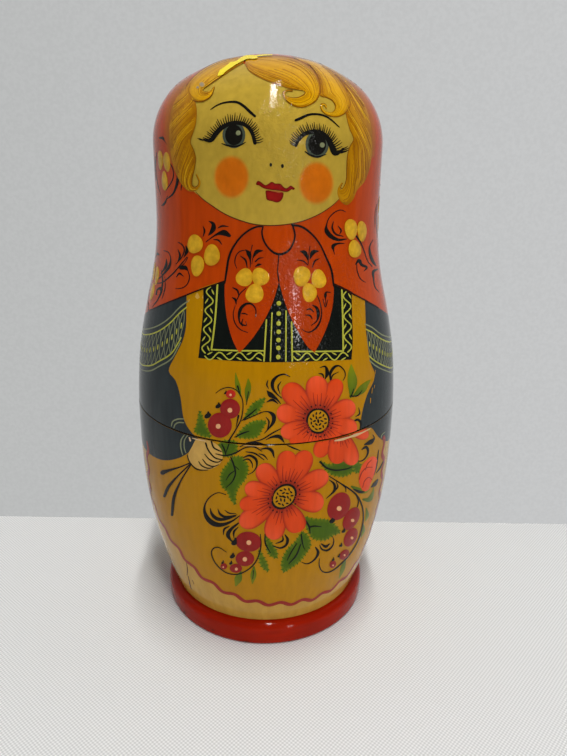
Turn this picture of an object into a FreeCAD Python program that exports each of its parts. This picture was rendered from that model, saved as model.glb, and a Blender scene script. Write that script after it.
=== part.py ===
"""A set of ten turned wooden nesting dolls, closed one inside the other.

Nine dolls are hollow and part at the belly: the bottom half carries a thin spigot that the top
half's socket slides over. The tenth, in the middle, is solid. Every doll has the same outline, a
beaded foot, a full belly, a straight neck and a domed crown, and each is smaller than the one
around it by just enough for its foot to stand on that doll's floor. Lengths are in millimetres,
+Z is up and the origin is the middle of the largest doll's flat base.
"""

import FreeCAD, Part
import os
import sys

import Sketcher

DOLLS = 10

# Outline of the largest doll, from the base up, then its walls and joint
SIZES = {
    "foot_height": 11.0,  # base to the top of the foot's bead
    "foot_lip": 3.8,  # how far the bead stands out past the waist, and its radius
    "foot_edge": 1.4,  # rounding of the base's edge
    "waist_radius": 46.0,  # where the body meets the bead
    "belly_radius": 59.4,  # widest part of the body
    "belly_height": 88.0,  # base to the start of the straight belly band
    "belly_band": 11.6,  # straight band round the belly
    "neck_rise": 91.8,  # top of the band to the start of the straight neck
    "neck_radius": 47.2,  # neck and sides of the head
    "head_side": 24.7,  # straight side of the head
    "crown_height": 33.9,  # top of the straight side to the top of the head
    "shoulder_radius": 28.4,  # round edge of the crown
    "belly_arc_share": 0.62,  # share of the swing from belly to neck that the belly's arc takes
    "seam_height": 107.0,  # base to the line where the halves part
    "seam_break": 0.35,  # bevel on each half's outer edge at the seam
    "shell_wall": 5.0,  # wood left by the hollowing tool
    "crown_wall": 9.0,  # wood left above the hollow at the top of the head
    "floor_height": 16.0,  # base to the floor that the next doll stands on
    "floor_corner": 2.2,  # rounding between floor and wall
    "socket_wall": 2.0,  # top half's wood around the spigot, at its thinnest
    "spigot_wall": 2.0,  # the spigot's own wood, at its thinnest
    "spigot_height": 14.0,  # how far the spigot stands above the seam
    "spigot_ease": 0.8,  # bevel on the spigot's leading edge
    "spigot_relief": 0.6,  # room above the spigot, so that the halves meet at the seam
    "spigot_gap": 0.08,  # play round the spigot, the same in every doll
    "nest_gap": 0.6,  # least room round the next doll's foot
    "overrun": 6.0,  # how far each cut runs past the wood
}

# How the sketcher counts its fixed geometry and the points of an edge
ORIGIN, V_AXIS = range(-1, -3, -1)
START, END, CENTRE = range(1, 4)


def fill_sheet(doc):
    """Writes the driving sizes into a spreadsheet, one alias to a row."""
    sheet = doc.addObject("Spreadsheet::Sheet", "Sizes")
    for row, (name, size) in enumerate(SIZES.items(), start=1):
        sheet.set(f"A{row}", name)
        sheet.set(f"B{row}", str(size))
        sheet.setAlias(f"B{row}", name)
    doc.recompute()
    return sheet


class Doll:
    """Expressions for the sizes of one doll of the set, the largest being number 1."""

    RATIO = (
        "((Sizes.waist_radius - Sizes.shell_wall - Sizes.nest_gap)"
        " / (Sizes.waist_radius + Sizes.foot_lip))"
    )

    def __init__(self, number):
        self.number = number
        self.factor = f"{self.RATIO}^{number - 1}"
        self.belly = self.of("belly_radius")
        self.waist = self.of("waist_radius")
        self.neck = self.of("neck_radius")
        self.wall = self.of("shell_wall")
        self.foot_height = self.of("foot_height")
        self.belly_height = self.of("belly_height")
        self.band_top = f"({self.belly_height} + {self.of('belly_band')})"
        self.neck_height = f"({self.band_top} + {self.of('neck_rise')})"
        self.head_height = f"({self.neck_height} + {self.of('head_side')})"
        self.height = f"({self.head_height} + {self.of('crown_height')})"
        self.lower_arc = self.sagitta_radius(
            f"({self.belly} - {self.waist})", f"({self.belly_height} - {self.foot_height})"
        )
        swing = self.sagitta_radius(f"({self.belly} - {self.neck})", self.of("neck_rise"))
        self.upper_arc = f"(Sizes.belly_arc_share * {swing})"
        self.seam = self.of("seam_height")
        self.spigot_top = f"({self.seam} + {self.of('spigot_height')})"
        self.socket_top = f"({self.spigot_top} + {self.of('spigot_relief')})"
        self.seam_radius = self.outside_at(self.seam)
        self.socket_radius = f"({self.outside_at(self.socket_top)} - {self.of('socket_wall')})"
        self.spigot_radius = f"({self.socket_radius} - Sizes.spigot_gap)"
        self.mouth_radius = f"({self.spigot_radius} - {self.of('spigot_wall')})"
        self.far_radius = f"({self.belly} + Sizes.overrun)"
        self.bevel = self.of("seam_break")

    def of(self, name):
        """A size of the largest doll, brought down to this one."""
        return f"(Sizes.{name} * {self.factor})"

    @staticmethod
    def sagitta_radius(depth, length):
        """Radius of an arc that leaves a straight line and is off it by depth after length."""
        return f"(({depth}^2 + {length}^2) / (2 * {depth}))"

    def outside_at(self, height):
        """Outside radius on the belly band or on the arc above it."""
        above = f"max(0; {height} - {self.band_top})"
        return f"({self.belly} - {self.upper_arc} + sqrt({self.upper_arc}^2 - {above}^2))"

    def base_height(self):
        """How high the doll stands, on the floors of all those around it."""
        floors = [f"Sizes.floor_height * {self.RATIO}^{n}" for n in range(self.number - 1)]
        return " + ".join(floors) or "0"


class Outline:
    """Lines and arcs in a sketch, each size of which is bound to an expression."""

    def __init__(self, body, name):
        self.sketch = body.newObject("Sketcher::SketchObject", name)
        plane = next(f for f in body.Origin.OriginFeatures if f.Role == "XZ_Plane")
        self.sketch.AttachmentSupport = [(plane, "")]
        self.sketch.MapMode = "FlatFace"

    def value(self, expression):
        """What an expression comes to now, as a plain number."""
        return float(self.sketch.evalExpression(expression))

    def line(self, start, end):
        """A line between two (radius, height) places."""
        ends = [FreeCAD.Vector(x, y, 0) for x, y in (start, end)]
        return self.sketch.addGeometry(Part.LineSegment(*ends), False)

    def arc(self, centre, start, end):
        """An arc that runs anticlockwise about centre from start to end."""
        middle, first, last = (FreeCAD.Vector(x, y, 0) for x, y in (centre, start, end))
        radius = first.distanceToPoint(middle)
        circle = Part.Circle(middle, FreeCAD.Vector(0, 0, 1), radius)
        turn = [circle.parameter(p) for p in (first, last)]
        return self.sketch.addGeometry(Part.ArcOfCircle(circle, *turn), False)

    def fix(self, kind, *places):
        """A constraint with no size."""
        return self.sketch.addConstraint(Sketcher.Constraint(kind, *places))

    def size(self, kind, *places_then_expression):
        """A constraint whose size follows an expression."""
        *places, expression = places_then_expression
        number = self.sketch.addConstraint(
            Sketcher.Constraint(kind, *places, self.value(expression))
        )
        self.sketch.setExpression(f"Constraints[{number}]", expression)

    def place(self, edge, end, radius=None, height=None):
        """Puts a point at a radius and a height; with no radius it lies on the axis."""
        if radius is None:
            self.fix("PointOnObject", edge, end, V_AXIS)
        else:
            self.size("DistanceX", edge, end, radius)
        if height is not None:
            self.size("DistanceY", edge, end, height)

    def closed(self, corners):
        """A closed run of lines through (radius, height) expressions, None being the axis."""
        places = [
            (0.0 if radius is None else self.value(radius), self.value(height))
            for radius, height in corners
        ]
        edges = [self.line(p, q) for p, q in zip(places, places[1:] + places[:1])]
        for edge, following, corner in zip(edges, edges[1:] + edges[:1], corners):
            self.fix("Coincident", edge, END, following, START)
            self.place(edge, START, *corner)


def doll_outline(body, doll):
    """The whole doll's half section: foot, belly, neck and crown as lines and tangent arcs."""
    o = Outline(body, "outline")
    v = o.value
    waist, belly, neck = v(doll.waist), v(doll.belly), v(doll.neck)
    lip, edge = v(doll.of("foot_lip")), v(doll.of("foot_edge"))
    foot_height, belly_height, band_top = v(doll.foot_height), v(doll.belly_height), v(doll.band_top)
    neck_height, head_height, height = v(doll.neck_height), v(doll.head_height), v(doll.height)
    lower_arc, upper_arc = v(doll.lower_arc), v(doll.upper_arc)
    foot = waist + lip
    base = o.line((0, 0), (foot - edge, 0))
    edge_arc = o.arc((foot - edge, edge), (foot - edge, 0), (foot, edge))
    side = o.line((foot, edge), (foot, foot_height - lip))
    bead = o.arc((waist, foot_height - lip), (foot, foot_height - lip), (waist, foot_height))
    body_arc = o.arc((belly - lower_arc, belly_height), (waist, foot_height), (belly, belly_height))
    band = o.line((belly, belly_height), (belly, band_top))
    neck_arc_radius = ((belly - neck) ** 2 + v(doll.of("neck_rise")) ** 2) / (
        2 * (belly - neck)
    ) - upper_arc
    turn_share = upper_arc / (upper_arc + neck_arc_radius)
    belly_centre = (belly - upper_arc, band_top)
    neck_centre = (neck + neck_arc_radius, neck_height)
    turn = tuple(a + (b - a) * turn_share for a, b in zip(belly_centre, neck_centre))
    belly_arc = o.arc(belly_centre, (belly, band_top), turn)
    neck_arc = o.arc(neck_centre, (neck, neck_height), turn)
    head = o.line((neck, neck_height), (neck, head_height))
    shoulder, crown, top = crown_arcs(
        o, neck, head_height, v(doll.of("shoulder_radius")), height
    )
    axis = o.line(top, (0, 0))

    o.fix("Coincident", base, START, ORIGIN, START)
    o.fix("Horizontal", base)
    o.fix("Tangent", base, END, edge_arc, START)
    o.fix("Tangent", edge_arc, END, side, START)
    o.size("Radius", edge_arc, doll.of("foot_edge"))
    o.fix("Vertical", side)
    o.fix("Tangent", side, END, bead, START)
    o.size("Radius", bead, doll.of("foot_lip"))
    o.fix("Vertical", bead, CENTRE, bead, END)
    o.place(bead, END, doll.waist, doll.foot_height)
    o.fix("Coincident", bead, END, body_arc, START)
    o.fix("Tangent", body_arc, END, band, START)
    o.place(band, START, doll.belly, doll.belly_height)
    o.fix("Vertical", band)
    o.size("DistanceY", band, START, band, END, doll.of("belly_band"))
    o.fix("Tangent", band, END, belly_arc, START)
    o.size("Radius", belly_arc, doll.upper_arc)
    o.fix("Tangent", belly_arc, END, neck_arc, END)
    o.fix("Tangent", neck_arc, START, head, START)
    o.place(head, START, doll.neck, doll.neck_height)
    o.fix("Vertical", head)
    o.size("DistanceY", head, START, head, END, doll.of("head_side"))
    bind_crown(o, head, shoulder, crown, doll.of("shoulder_radius"))
    o.fix("Coincident", crown, END, axis, START)
    o.size("DistanceY", axis, START, doll.height)
    o.fix("Vertical", axis)
    o.fix("Coincident", axis, END, ORIGIN, START)
    return o.sketch


def crown_arcs(o, radius, start_height, shoulder_radius, top_height):
    """The round edge and the flatter top of a dome, drawn where they will be bound."""
    rise, across = top_height - start_height, radius - shoulder_radius
    crown_radius = (across**2 + rise**2 - shoulder_radius**2) / (2 * (rise - shoulder_radius))
    crown_centre = (0.0, top_height - crown_radius)
    shoulder_centre = (across, start_height)
    reach = crown_radius / (crown_radius - shoulder_radius)
    meet = tuple(a + (b - a) * reach for a, b in zip(crown_centre, shoulder_centre))
    top = (0.0, top_height)
    shoulder = o.arc(shoulder_centre, (radius, start_height), meet)
    return shoulder, o.arc(crown_centre, meet, top), top


def bind_crown(o, side, shoulder, crown, shoulder_radius):
    """Makes the dome leave the straight side smoothly and stand square on the axis."""
    o.fix("Tangent", side, END, shoulder, START)
    o.size("Radius", shoulder, shoulder_radius)
    o.fix("Tangent", shoulder, END, crown, START)
    o.fix("PointOnObject", crown, CENTRE, V_AXIS)


def bottom_parting(body, doll):
    """What is turned away above the seam: all but the spigot, down to the bevelled shoulder."""
    o = Outline(body, "parting")
    ease = doll.of("spigot_ease")
    above = f"({doll.height} + Sizes.overrun)"
    past_edge = f"({doll.far_radius} - {doll.seam_radius} + {doll.bevel})"
    o.closed(
        [
            (doll.spigot_radius, doll.seam),
            (f"({doll.seam_radius} - {doll.bevel})", doll.seam),
            (doll.far_radius, f"({doll.seam} - {past_edge})"),
            (doll.far_radius, above),
            (None, above),
            (None, doll.spigot_top),
            (f"({doll.spigot_radius} - {ease})", doll.spigot_top),
            (doll.spigot_radius, f"({doll.spigot_top} - {ease})"),
        ]
    )
    return o.sketch


def bottom_hollow(body, doll):
    """The bottom half's hollow: flat floor, rounded corner, wall that follows the outside.

    Above the belly it runs straight to the mouth, where it leaves the spigot its wall.
    """
    o = Outline(body, "hollow")
    v = o.value
    floor, corner = v(doll.of("floor_height")), v(doll.of("floor_corner"))
    inside = f"({doll.belly} - {doll.wall})"
    wall_radius = f"({doll.lower_arc} - {doll.wall})"
    above = f"({doll.spigot_top} + Sizes.overrun)"
    mouth, belly_height = v(doll.mouth_radius), v(doll.belly_height)
    centre_x = v(doll.belly) - v(doll.lower_arc)
    down = belly_height - floor - corner
    reach = v(wall_radius) - corner
    corner_x = centre_x + (reach**2 - down**2) ** 0.5
    lengthen = v(wall_radius) / reach
    meet = (centre_x + (corner_x - centre_x) * lengthen, belly_height - down * lengthen)
    ground = o.line((0, floor), (corner_x, floor))
    corner_arc = o.arc((corner_x, floor + corner), (corner_x, floor), meet)
    wall_arc = o.arc((centre_x, belly_height), meet, (v(inside), belly_height))
    bore = o.line((v(inside), belly_height), (mouth, v(doll.spigot_top)))
    rim = o.line((mouth, v(doll.spigot_top)), (mouth, v(above)))
    top = o.line((mouth, v(above)), (0, v(above)))
    axis = o.line((0, v(above)), (0, floor))

    o.place(ground, START, None, doll.of("floor_height"))
    o.fix("Horizontal", ground)
    o.fix("Tangent", ground, END, corner_arc, START)
    o.size("Radius", corner_arc, doll.of("floor_corner"))
    o.fix("Tangent", corner_arc, END, wall_arc, START)
    o.size("Radius", wall_arc, wall_radius)
    o.fix("Horizontal", wall_arc, CENTRE, wall_arc, END)
    o.fix("Coincident", wall_arc, END, bore, START)
    o.place(bore, START, inside, doll.belly_height)
    o.fix("Coincident", bore, END, rim, START)
    o.place(rim, START, doll.mouth_radius, doll.spigot_top)
    o.fix("Vertical", rim)
    o.size("DistanceY", rim, END, above)
    o.fix("Coincident", rim, END, top, START)
    o.fix("Horizontal", top)
    o.fix("Coincident", top, END, axis, START)
    o.fix("Vertical", axis)
    o.fix("Coincident", axis, END, ground, START)
    return o.sketch


def top_parting(body, doll):
    """What is turned away below the seam, with the socket that slides over the spigot."""
    o = Outline(body, "parting")
    ease = doll.of("spigot_ease")
    past_edge = f"({doll.far_radius} - {doll.seam_radius} + {doll.bevel})"
    below = f"({doll.seam} - {doll.height})"
    o.closed(
        [
            (None, below),
            (doll.far_radius, below),
            (doll.far_radius, f"({doll.seam} + {past_edge})"),
            (f"({doll.seam_radius} - {doll.bevel})", doll.seam),
            (f"({doll.socket_radius} + {ease} / 2)", doll.seam),
            (doll.socket_radius, f"({doll.seam} + {ease} / 2)"),
            (doll.socket_radius, doll.socket_top),
            (None, doll.socket_top),
        ]
    )
    return o.sketch


def top_hollow(body, doll):
    """The top half's hollow: it follows belly, neck and crown, with a thicker crown."""
    o = Outline(body, "hollow")
    v = o.value
    inside, neck = f"({doll.belly} - {doll.wall})", f"({doll.neck} - {doll.wall})"
    arc_radius = f"({doll.upper_arc} - {doll.wall})"
    drop = f"({doll.of('crown_wall')} - {doll.wall})"
    shoulder_radius = f"({doll.of('shoulder_radius')} - {doll.wall})"
    band_top, neck_height = v(doll.band_top), v(doll.neck_height)
    dome_start = v(f"{doll.head_height} - {drop}")
    swing = ((v(inside) - v(neck)) ** 2 + v(doll.of("neck_rise")) ** 2) / (
        2 * (v(inside) - v(neck))
    )
    belly_centre = (v(inside) - v(arc_radius), band_top)
    neck_centre = (v(neck) + swing - v(arc_radius), neck_height)
    turn_share = v(arc_radius) / swing
    turn = tuple(a + (b - a) * turn_share for a, b in zip(belly_centre, neck_centre))
    mouth = o.line((0, band_top), (v(inside), band_top))
    belly_arc = o.arc(belly_centre, (v(inside), band_top), turn)
    neck_arc = o.arc(neck_centre, (v(neck), neck_height), turn)
    head = o.line((v(neck), neck_height), (v(neck), dome_start))
    ceiling = f"({doll.height} - {doll.of('crown_wall')})"
    shoulder, crown, top = crown_arcs(o, v(neck), dome_start, v(shoulder_radius), v(ceiling))
    axis = o.line(top, (0, band_top))

    o.place(mouth, START, None, doll.band_top)
    o.fix("Horizontal", mouth)
    o.size("DistanceX", mouth, END, inside)
    o.fix("Coincident", mouth, END, belly_arc, START)
    o.fix("Horizontal", belly_arc, CENTRE, belly_arc, START)
    o.size("Radius", belly_arc, arc_radius)
    o.fix("Tangent", belly_arc, END, neck_arc, END)
    o.fix("Tangent", neck_arc, START, head, START)
    o.place(head, START, neck, doll.neck_height)
    o.fix("Vertical", head)
    o.size("DistanceY", head, END, f"({doll.head_height} - {drop})")
    bind_crown(o, head, shoulder, crown, shoulder_radius)
    o.fix("Coincident", crown, END, axis, START)
    o.size("DistanceY", axis, START, ceiling)
    o.fix("Vertical", axis)
    o.fix("Coincident", axis, END, mouth, START)
    return o.sketch


def turned_body(doc, label, doll):
    """A body with the whole doll turned solid, standing where it stands in the set."""
    body = doc.addObject("PartDesign::Body", label)
    body.Label = label
    body.setExpression("Placement.Base.z", doll.base_height())
    revolve(body, "PartDesign::Revolution", "turned", doll_outline(body, doll))
    return body


def revolve(body, kind, name, sketch):
    """Turns a sketch all the way round the axis, as wood kept or wood cut away."""
    feature = body.newObject(kind, name)
    feature.Profile = sketch
    feature.ReferenceAxis = (sketch, ["V_Axis"])
    feature.Angle = 360
    sketch.Visibility = False
    return feature


def bottom_half(doc, doll):
    """The half that stands: foot, floor, wall and spigot."""
    body = turned_body(doc, f"bottom_half_{doll.number}", doll)
    revolve(body, "PartDesign::Groove", "part_off", bottom_parting(body, doll))
    revolve(body, "PartDesign::Groove", "hollow_out", bottom_hollow(body, doll))
    return body


def top_half(doc, doll):
    """The half that lifts off: socket, wall and crown."""
    body = turned_body(doc, f"top_half_{doll.number}", doll)
    revolve(body, "PartDesign::Groove", "part_off", top_parting(body, doll))
    revolve(body, "PartDesign::Groove", "hollow_out", top_hollow(body, doll))
    return body


def check(doc, bodies):
    """Stops the build if a feature failed or a body is not one sound solid."""
    failed = [o.Label for o in doc.Objects if {"Invalid", "Error"} & set(o.State)]
    if failed:
        sys.exit(f"failed: {failed}")
    for body in bodies:
        shape = body.Shape
        if shape.isNull() or not shape.isValid() or len(shape.Solids) != 1:
            sys.exit(f"{body.Label} is not one valid solid")


def main():
    doc = FreeCAD.newDocument("nesting_dolls")
    fill_sheet(doc)
    bodies = []
    for number in range(1, DOLLS):
        doll = Doll(number)
        bodies += [bottom_half(doc, doll), top_half(doc, doll)]
    bodies.append(turned_body(doc, "innermost_doll", Doll(DOLLS)))
    doc.recompute()
    check(doc, bodies)
    os.makedirs("parts", exist_ok=True)
    for body in bodies:
        body.Shape.exportStep(f"parts/{body.Label}.step")
        print(f"{body.Label}: {body.Shape.Volume:.1f} mm3")


main()
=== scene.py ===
"""Turns and paints the ten nesting dolls, and sets up the studio and the camera.

Every doll is the same drawing at its own size. The drawing is kept once, for the largest doll: shapes on
its front are written as pixels of the photograph and laid on the turned surface along the camera's rays,
and shapes that run round its sides and back as degrees from the middle of the face and millimetres up.
"""
import math
import random

import bmesh
import bpy
import numpy as np
from mathutils import Matrix, Vector
from mathutils.geometry import delaunay_2d_cdt


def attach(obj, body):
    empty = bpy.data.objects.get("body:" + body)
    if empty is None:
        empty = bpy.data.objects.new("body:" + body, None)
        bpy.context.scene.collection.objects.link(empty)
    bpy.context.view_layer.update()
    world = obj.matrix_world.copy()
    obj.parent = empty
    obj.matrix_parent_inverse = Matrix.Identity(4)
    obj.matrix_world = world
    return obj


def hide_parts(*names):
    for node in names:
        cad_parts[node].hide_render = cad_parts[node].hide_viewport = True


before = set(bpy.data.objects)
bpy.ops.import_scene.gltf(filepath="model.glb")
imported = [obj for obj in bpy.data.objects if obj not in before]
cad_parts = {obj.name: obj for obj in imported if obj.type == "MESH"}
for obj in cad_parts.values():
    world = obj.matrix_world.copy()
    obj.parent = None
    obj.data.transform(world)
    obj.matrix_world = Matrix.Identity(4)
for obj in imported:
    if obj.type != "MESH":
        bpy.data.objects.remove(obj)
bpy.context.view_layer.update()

MM = 0.001
DOLLS = 10
TINY, SAME_PLACE = 1e-12, 1e-9

# The largest doll's outline and walls, in millimetres, as they are turned
FOOT_HEIGHT, FOOT_LIP, FOOT_EDGE = 11.0, 3.8, 1.4
WAIST_RADIUS, BELLY_RADIUS, NECK_RADIUS = 46.0, 59.4, 47.2
BELLY_HEIGHT, BELLY_BAND, NECK_RISE = 88.0, 11.6, 91.8
HEAD_SIDE, CROWN_HEIGHT, SHOULDER_RADIUS = 24.7, 33.9, 28.4
BELLY_ARC_SHARE = 0.62
SEAM_HEIGHT, SEAM_BREAK, SEAM_AIR = 107.0, 0.35, 0.02
WALL, CROWN_WALL = 5.0, 9.0
FLOOR_HEIGHT, FLOOR_CORNER = 16.0, 2.2
SOCKET_WALL, SPIGOT_WALL, SPIGOT_HEIGHT = 2.0, 2.0, 14.0
SPIGOT_EASE, SPIGOT_RELIEF, SPIGOT_GAP = 0.8, 0.6, 0.08
NEST_GAP = 0.6

BAND_TOP = BELLY_HEIGHT + BELLY_BAND
NECK_HEIGHT = BAND_TOP + NECK_RISE
HEAD_HEIGHT = NECK_HEIGHT + HEAD_SIDE
TOP = HEAD_HEIGHT + CROWN_HEIGHT
RATIO = (WAIST_RADIUS - WALL - NEST_GAP) / (WAIST_RADIUS + FOOT_LIP)

# The camera, solved from the doll's own round lines: millimetres, degrees and pixels of the photograph
PHOTO_WIDE, PHOTO_HIGH = 567, 756
FOCAL_PIXELS, SENSOR = 650.0, 36.0
EYE = Vector((0.0, -287.5, 220.0))
LOOK_DOWN, LOOK_RIGHT, LEAN = 20.47, 1.57, 0.91
# Where rays are followed, in belly radii before and behind the axis, and how finely
RAY_NEAR, RAY_FAR, RAY_STEPS, RAY_HALVINGS = 1.5, 2, 240, 22

BAKE_MAP, PAINT = "OFBake", "paint"


# The outline, as it is turned

ARC_LEAST, CUT_CLEAR, FINE_MISS = 3, 0.2, 2e-5


def arc(centre, radius, start, end, miss):
    """Places along an arc of the outline between two angles in degrees, none farther than miss off it."""
    step = math.sqrt(8 * radius * miss)
    count = max(ARC_LEAST, math.ceil(radius * math.radians(abs(end - start)) / step) + 1)
    turns = np.radians(np.linspace(start, end, count))
    return [(centre[0] + radius * math.cos(t), centre[1] + radius * math.sin(t)) for t in turns]


def swing(depth, length):
    """Radius of an arc that leaves a straight line and is off it by depth after length."""
    return (depth**2 + length**2) / (2 * depth)


def foot_and_belly(miss):
    """From the edge of the flat base up the bead and the belly's arc to the belly band."""
    rim = WAIST_RADIUS + FOOT_LIP
    line = arc((rim - FOOT_EDGE, FOOT_EDGE), FOOT_EDGE, -90, 0, miss)
    line += arc((WAIST_RADIUS, FOOT_HEIGHT - FOOT_LIP), FOOT_LIP, 0, 90, miss)
    rise = BELLY_HEIGHT - FOOT_HEIGHT
    radius = swing(BELLY_RADIUS - WAIST_RADIUS, rise)
    start = -math.degrees(math.asin(rise / radius))
    return line + arc((BELLY_RADIUS - radius, BELLY_HEIGHT), radius, start, 0, miss)[1:]


def belly_and_neck(inset, miss):
    """From the top of the belly band to the straight neck: an arc out of the belly and one into the neck."""
    belly, neck = BELLY_RADIUS - inset, NECK_RADIUS - inset
    whole = swing(belly - neck, NECK_RISE)
    lower = BELLY_ARC_SHARE * whole - inset
    turn = math.degrees(math.asin(NECK_RISE / whole))
    upper = whole - lower
    line = arc((belly - lower, BAND_TOP), lower, 0, turn, miss)
    return line + arc((neck + upper, NECK_HEIGHT), upper, 180 + turn, 180, miss)[1:]


def dome(radius, start, shoulder, top, miss):
    """The round shoulder of the head and its flatter crown, which stands square on the axis."""
    across, rise = radius - shoulder, top - start
    crown = (across**2 + rise**2 - shoulder**2) / (2 * (rise - shoulder))
    turn = math.degrees(math.atan2(start - (top - crown), across))
    line = arc((across, start), shoulder, 0, turn, miss)
    return line + arc((0, top - crown), crown, turn, 90, miss)[1:]


def outside(miss):
    """The whole outside, from the edge of the base to the top of the head, as (radius, height)."""
    line = foot_and_belly(miss) + belly_and_neck(0, miss)
    return line + dome(NECK_RADIUS, HEAD_HEIGHT, SHOULDER_RADIUS, TOP, miss)


def cut_to(line, low, high):
    """The stretch of a rising line between two heights, with its ends exactly there."""
    radius, height = np.array(line).T
    ends = np.interp([low, high], height, radius)
    inner = [p for p in line if low + CUT_CLEAR < p[1] < high - CUT_CLEAR]
    return [(ends[0], low), *inner, (ends[1], high)]


FINE = np.array(outside(FINE_MISS))
FINE = FINE[np.concatenate([[True], np.diff(FINE[:, 1]) > SAME_PLACE])]
WAY = np.gradient(FINE, axis=0)
WAY /= np.linalg.norm(WAY, axis=1)[:, None]


def radius_at(height):
    """Outside radius of the largest doll at a height, or at an array of them."""
    return np.interp(height, FINE[:, 1], FINE[:, 0])


def on_surface(angle, height, lift):
    """Places on the largest doll, in millimetres, raised off the wood by lift."""
    out = np.interp(height, FINE[:, 1], WAY[:, 1])
    up = -np.interp(height, FINE[:, 1], WAY[:, 0])
    reach = np.maximum(radius_at(height) + lift * out, 0)
    return np.stack([reach * np.sin(angle), -reach * np.cos(angle), height + lift * up], 1)


# The two ways in which shapes are written down

def camera_axes():
    """Right, up and forward of the camera as unit vectors."""
    down, side, lean = (math.radians(a) for a in (LOOK_DOWN, LOOK_RIGHT, LEAN))
    forward = Vector((math.sin(side) * math.cos(down), math.cos(side) * math.cos(down), -math.sin(down)))
    level = Vector((math.cos(side), -math.sin(side), 0))
    right = math.cos(lean) * level + math.sin(lean) * level.cross(forward)
    return right, right.cross(forward), forward


def from_photo(pixels):
    """Angle and height where the camera's rays through some pixels meet the largest doll."""
    right, up, forward = (np.array(v) for v in camera_axes())
    across, down = pixels[:, :1] - PHOTO_WIDE / 2, pixels[:, 1:2] - PHOTO_HIGH / 2
    ray = FOCAL_PIXELS * forward + across * right - down * up
    ray /= np.linalg.norm(ray, axis=1)[:, None]
    eye = np.array(EYE)

    def off_wood(distance):
        """How far the places at some distances along the rays are outside the doll."""
        p = eye + distance[..., None] * ray[:, None]
        return np.hypot(p[..., 0], p[..., 1]) - radius_at(p[..., 2])

    reach = math.hypot(EYE.x, EYE.y)
    steps = np.linspace(reach - RAY_NEAR * BELLY_RADIUS, reach + RAY_FAR * BELLY_RADIUS, RAY_STEPS)
    gap = off_wood(np.broadcast_to(steps, (len(ray), len(steps))))
    hit = gap < 0
    first = np.where(hit.any(1), hit.argmax(1), gap.argmin(1))
    low, high = steps[np.maximum(first - 1, 0)], steps[first]
    for _ in range(RAY_HALVINGS):
        middle = (low + high) / 2
        inside = off_wood(middle[:, None])[:, 0] < 0
        high, low = np.where(inside, middle, high), np.where(inside, low, middle)
    p = eye + high[:, None] * ray
    return np.arctan2(p[:, 0], -p[:, 1]), p[:, 2]


ROUND_RADIUS = 50.0  # millimetres round that stand for one radian in round shapes


def from_round(places):
    """Angle and height of places written as (millimetres round, millimetres up)."""
    return places[:, 0] / ROUND_RADIUS, places[:, 1]


def rounded(places):
    """Places as (degrees from the face, millimetres up, ...), with the degrees as millimetres round."""
    return [(math.radians(p[0]) * ROUND_RADIUS, *p[1:]) for p in places]


# Colours, as they are on screen

def colour(red, green, blue):
    """A paint colour from its 0 to 255 values on screen, by the usual screen curve."""
    screen = [c / 255 for c in (red, green, blue)]
    return tuple(c / 12.92 if c <= 0.04 else ((c + 0.055) / 1.055) ** 2.4 for c in screen)


ORANGE_RED, TAIL_RED = colour(191, 65, 0), colour(176, 56, 1)
NAVY, YOKE_BLACK = colour(44, 52, 54), colour(16, 20, 16)
MUSTARD, PALE_SKIRT = colour(184, 128, 0), colour(200, 156, 68)
FOOT_RED, FOOT_GRIME = colour(164, 28, 1), colour(96, 24, 8)
# The first colour here is painted shade: the seam's bevel is near black for the shadow in the joint between
# the halves.
SEAM_SHADE, HEM_BROWN = colour(34, 22, 10), colour(44, 16, 4)
BARE_WOOD, WOOD_PORES = colour(214, 178, 128), colour(196, 152, 98)
FACE, CHEEK, IRIS_RING = colour(188, 156, 54), colour(208, 106, 10), colour(72, 80, 66)
# The middle colour is painted highlight, for the lacquer's shine along the lower lip.
LIP_EDGE, LIP_HIGHLIGHT_TONE, LIP_RED = colour(92, 12, 4), colour(176, 84, 44), colour(150, 20, 16)
HAIR_GOLD, HAIR_AMBER, HAIR_LIGHT = colour(218, 160, 0), colour(200, 140, 0), colour(228, 174, 22)
HAIR_BROWN, HAIR_LINE, HAIR_FINE = colour(154, 92, 0), colour(112, 62, 2), colour(136, 80, 2)
BLACK, BROWN_LINE = colour(20, 18, 14), colour(84, 40, 14)
DAB_YELLOW, DAB_EDGE = colour(230, 178, 42), colour(220, 160, 26)
TRIM_GREEN, TRIM_GREY = colour(178, 176, 62), colour(128, 132, 96)
CORAL, CORAL_PINK = colour(226, 72, 22), colour(238, 88, 46)
PETAL_ROOT, PETAL_LINE = colour(112, 30, 20), colour(150, 38, 20)
LEAF, LEAF_LIGHT = colour(72, 100, 10), colour(128, 134, 12)
BERRY, BERRY_RED, HIGHLIGHT = colour(148, 32, 28), colour(186, 42, 26), colour(236, 176, 124)
WAVE_RED, HAND, CHIP_YELLOW = colour(152, 44, 34), colour(208, 164, 84), colour(246, 222, 30)
SCUFF = colour(150, 136, 108)


# Lines and areas

CURVE_STEP = 0.5
ROW_SHARE, EDGE_CLEAR_SHARE, MERGE = 0.866, 0.45, 1e-5


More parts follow.
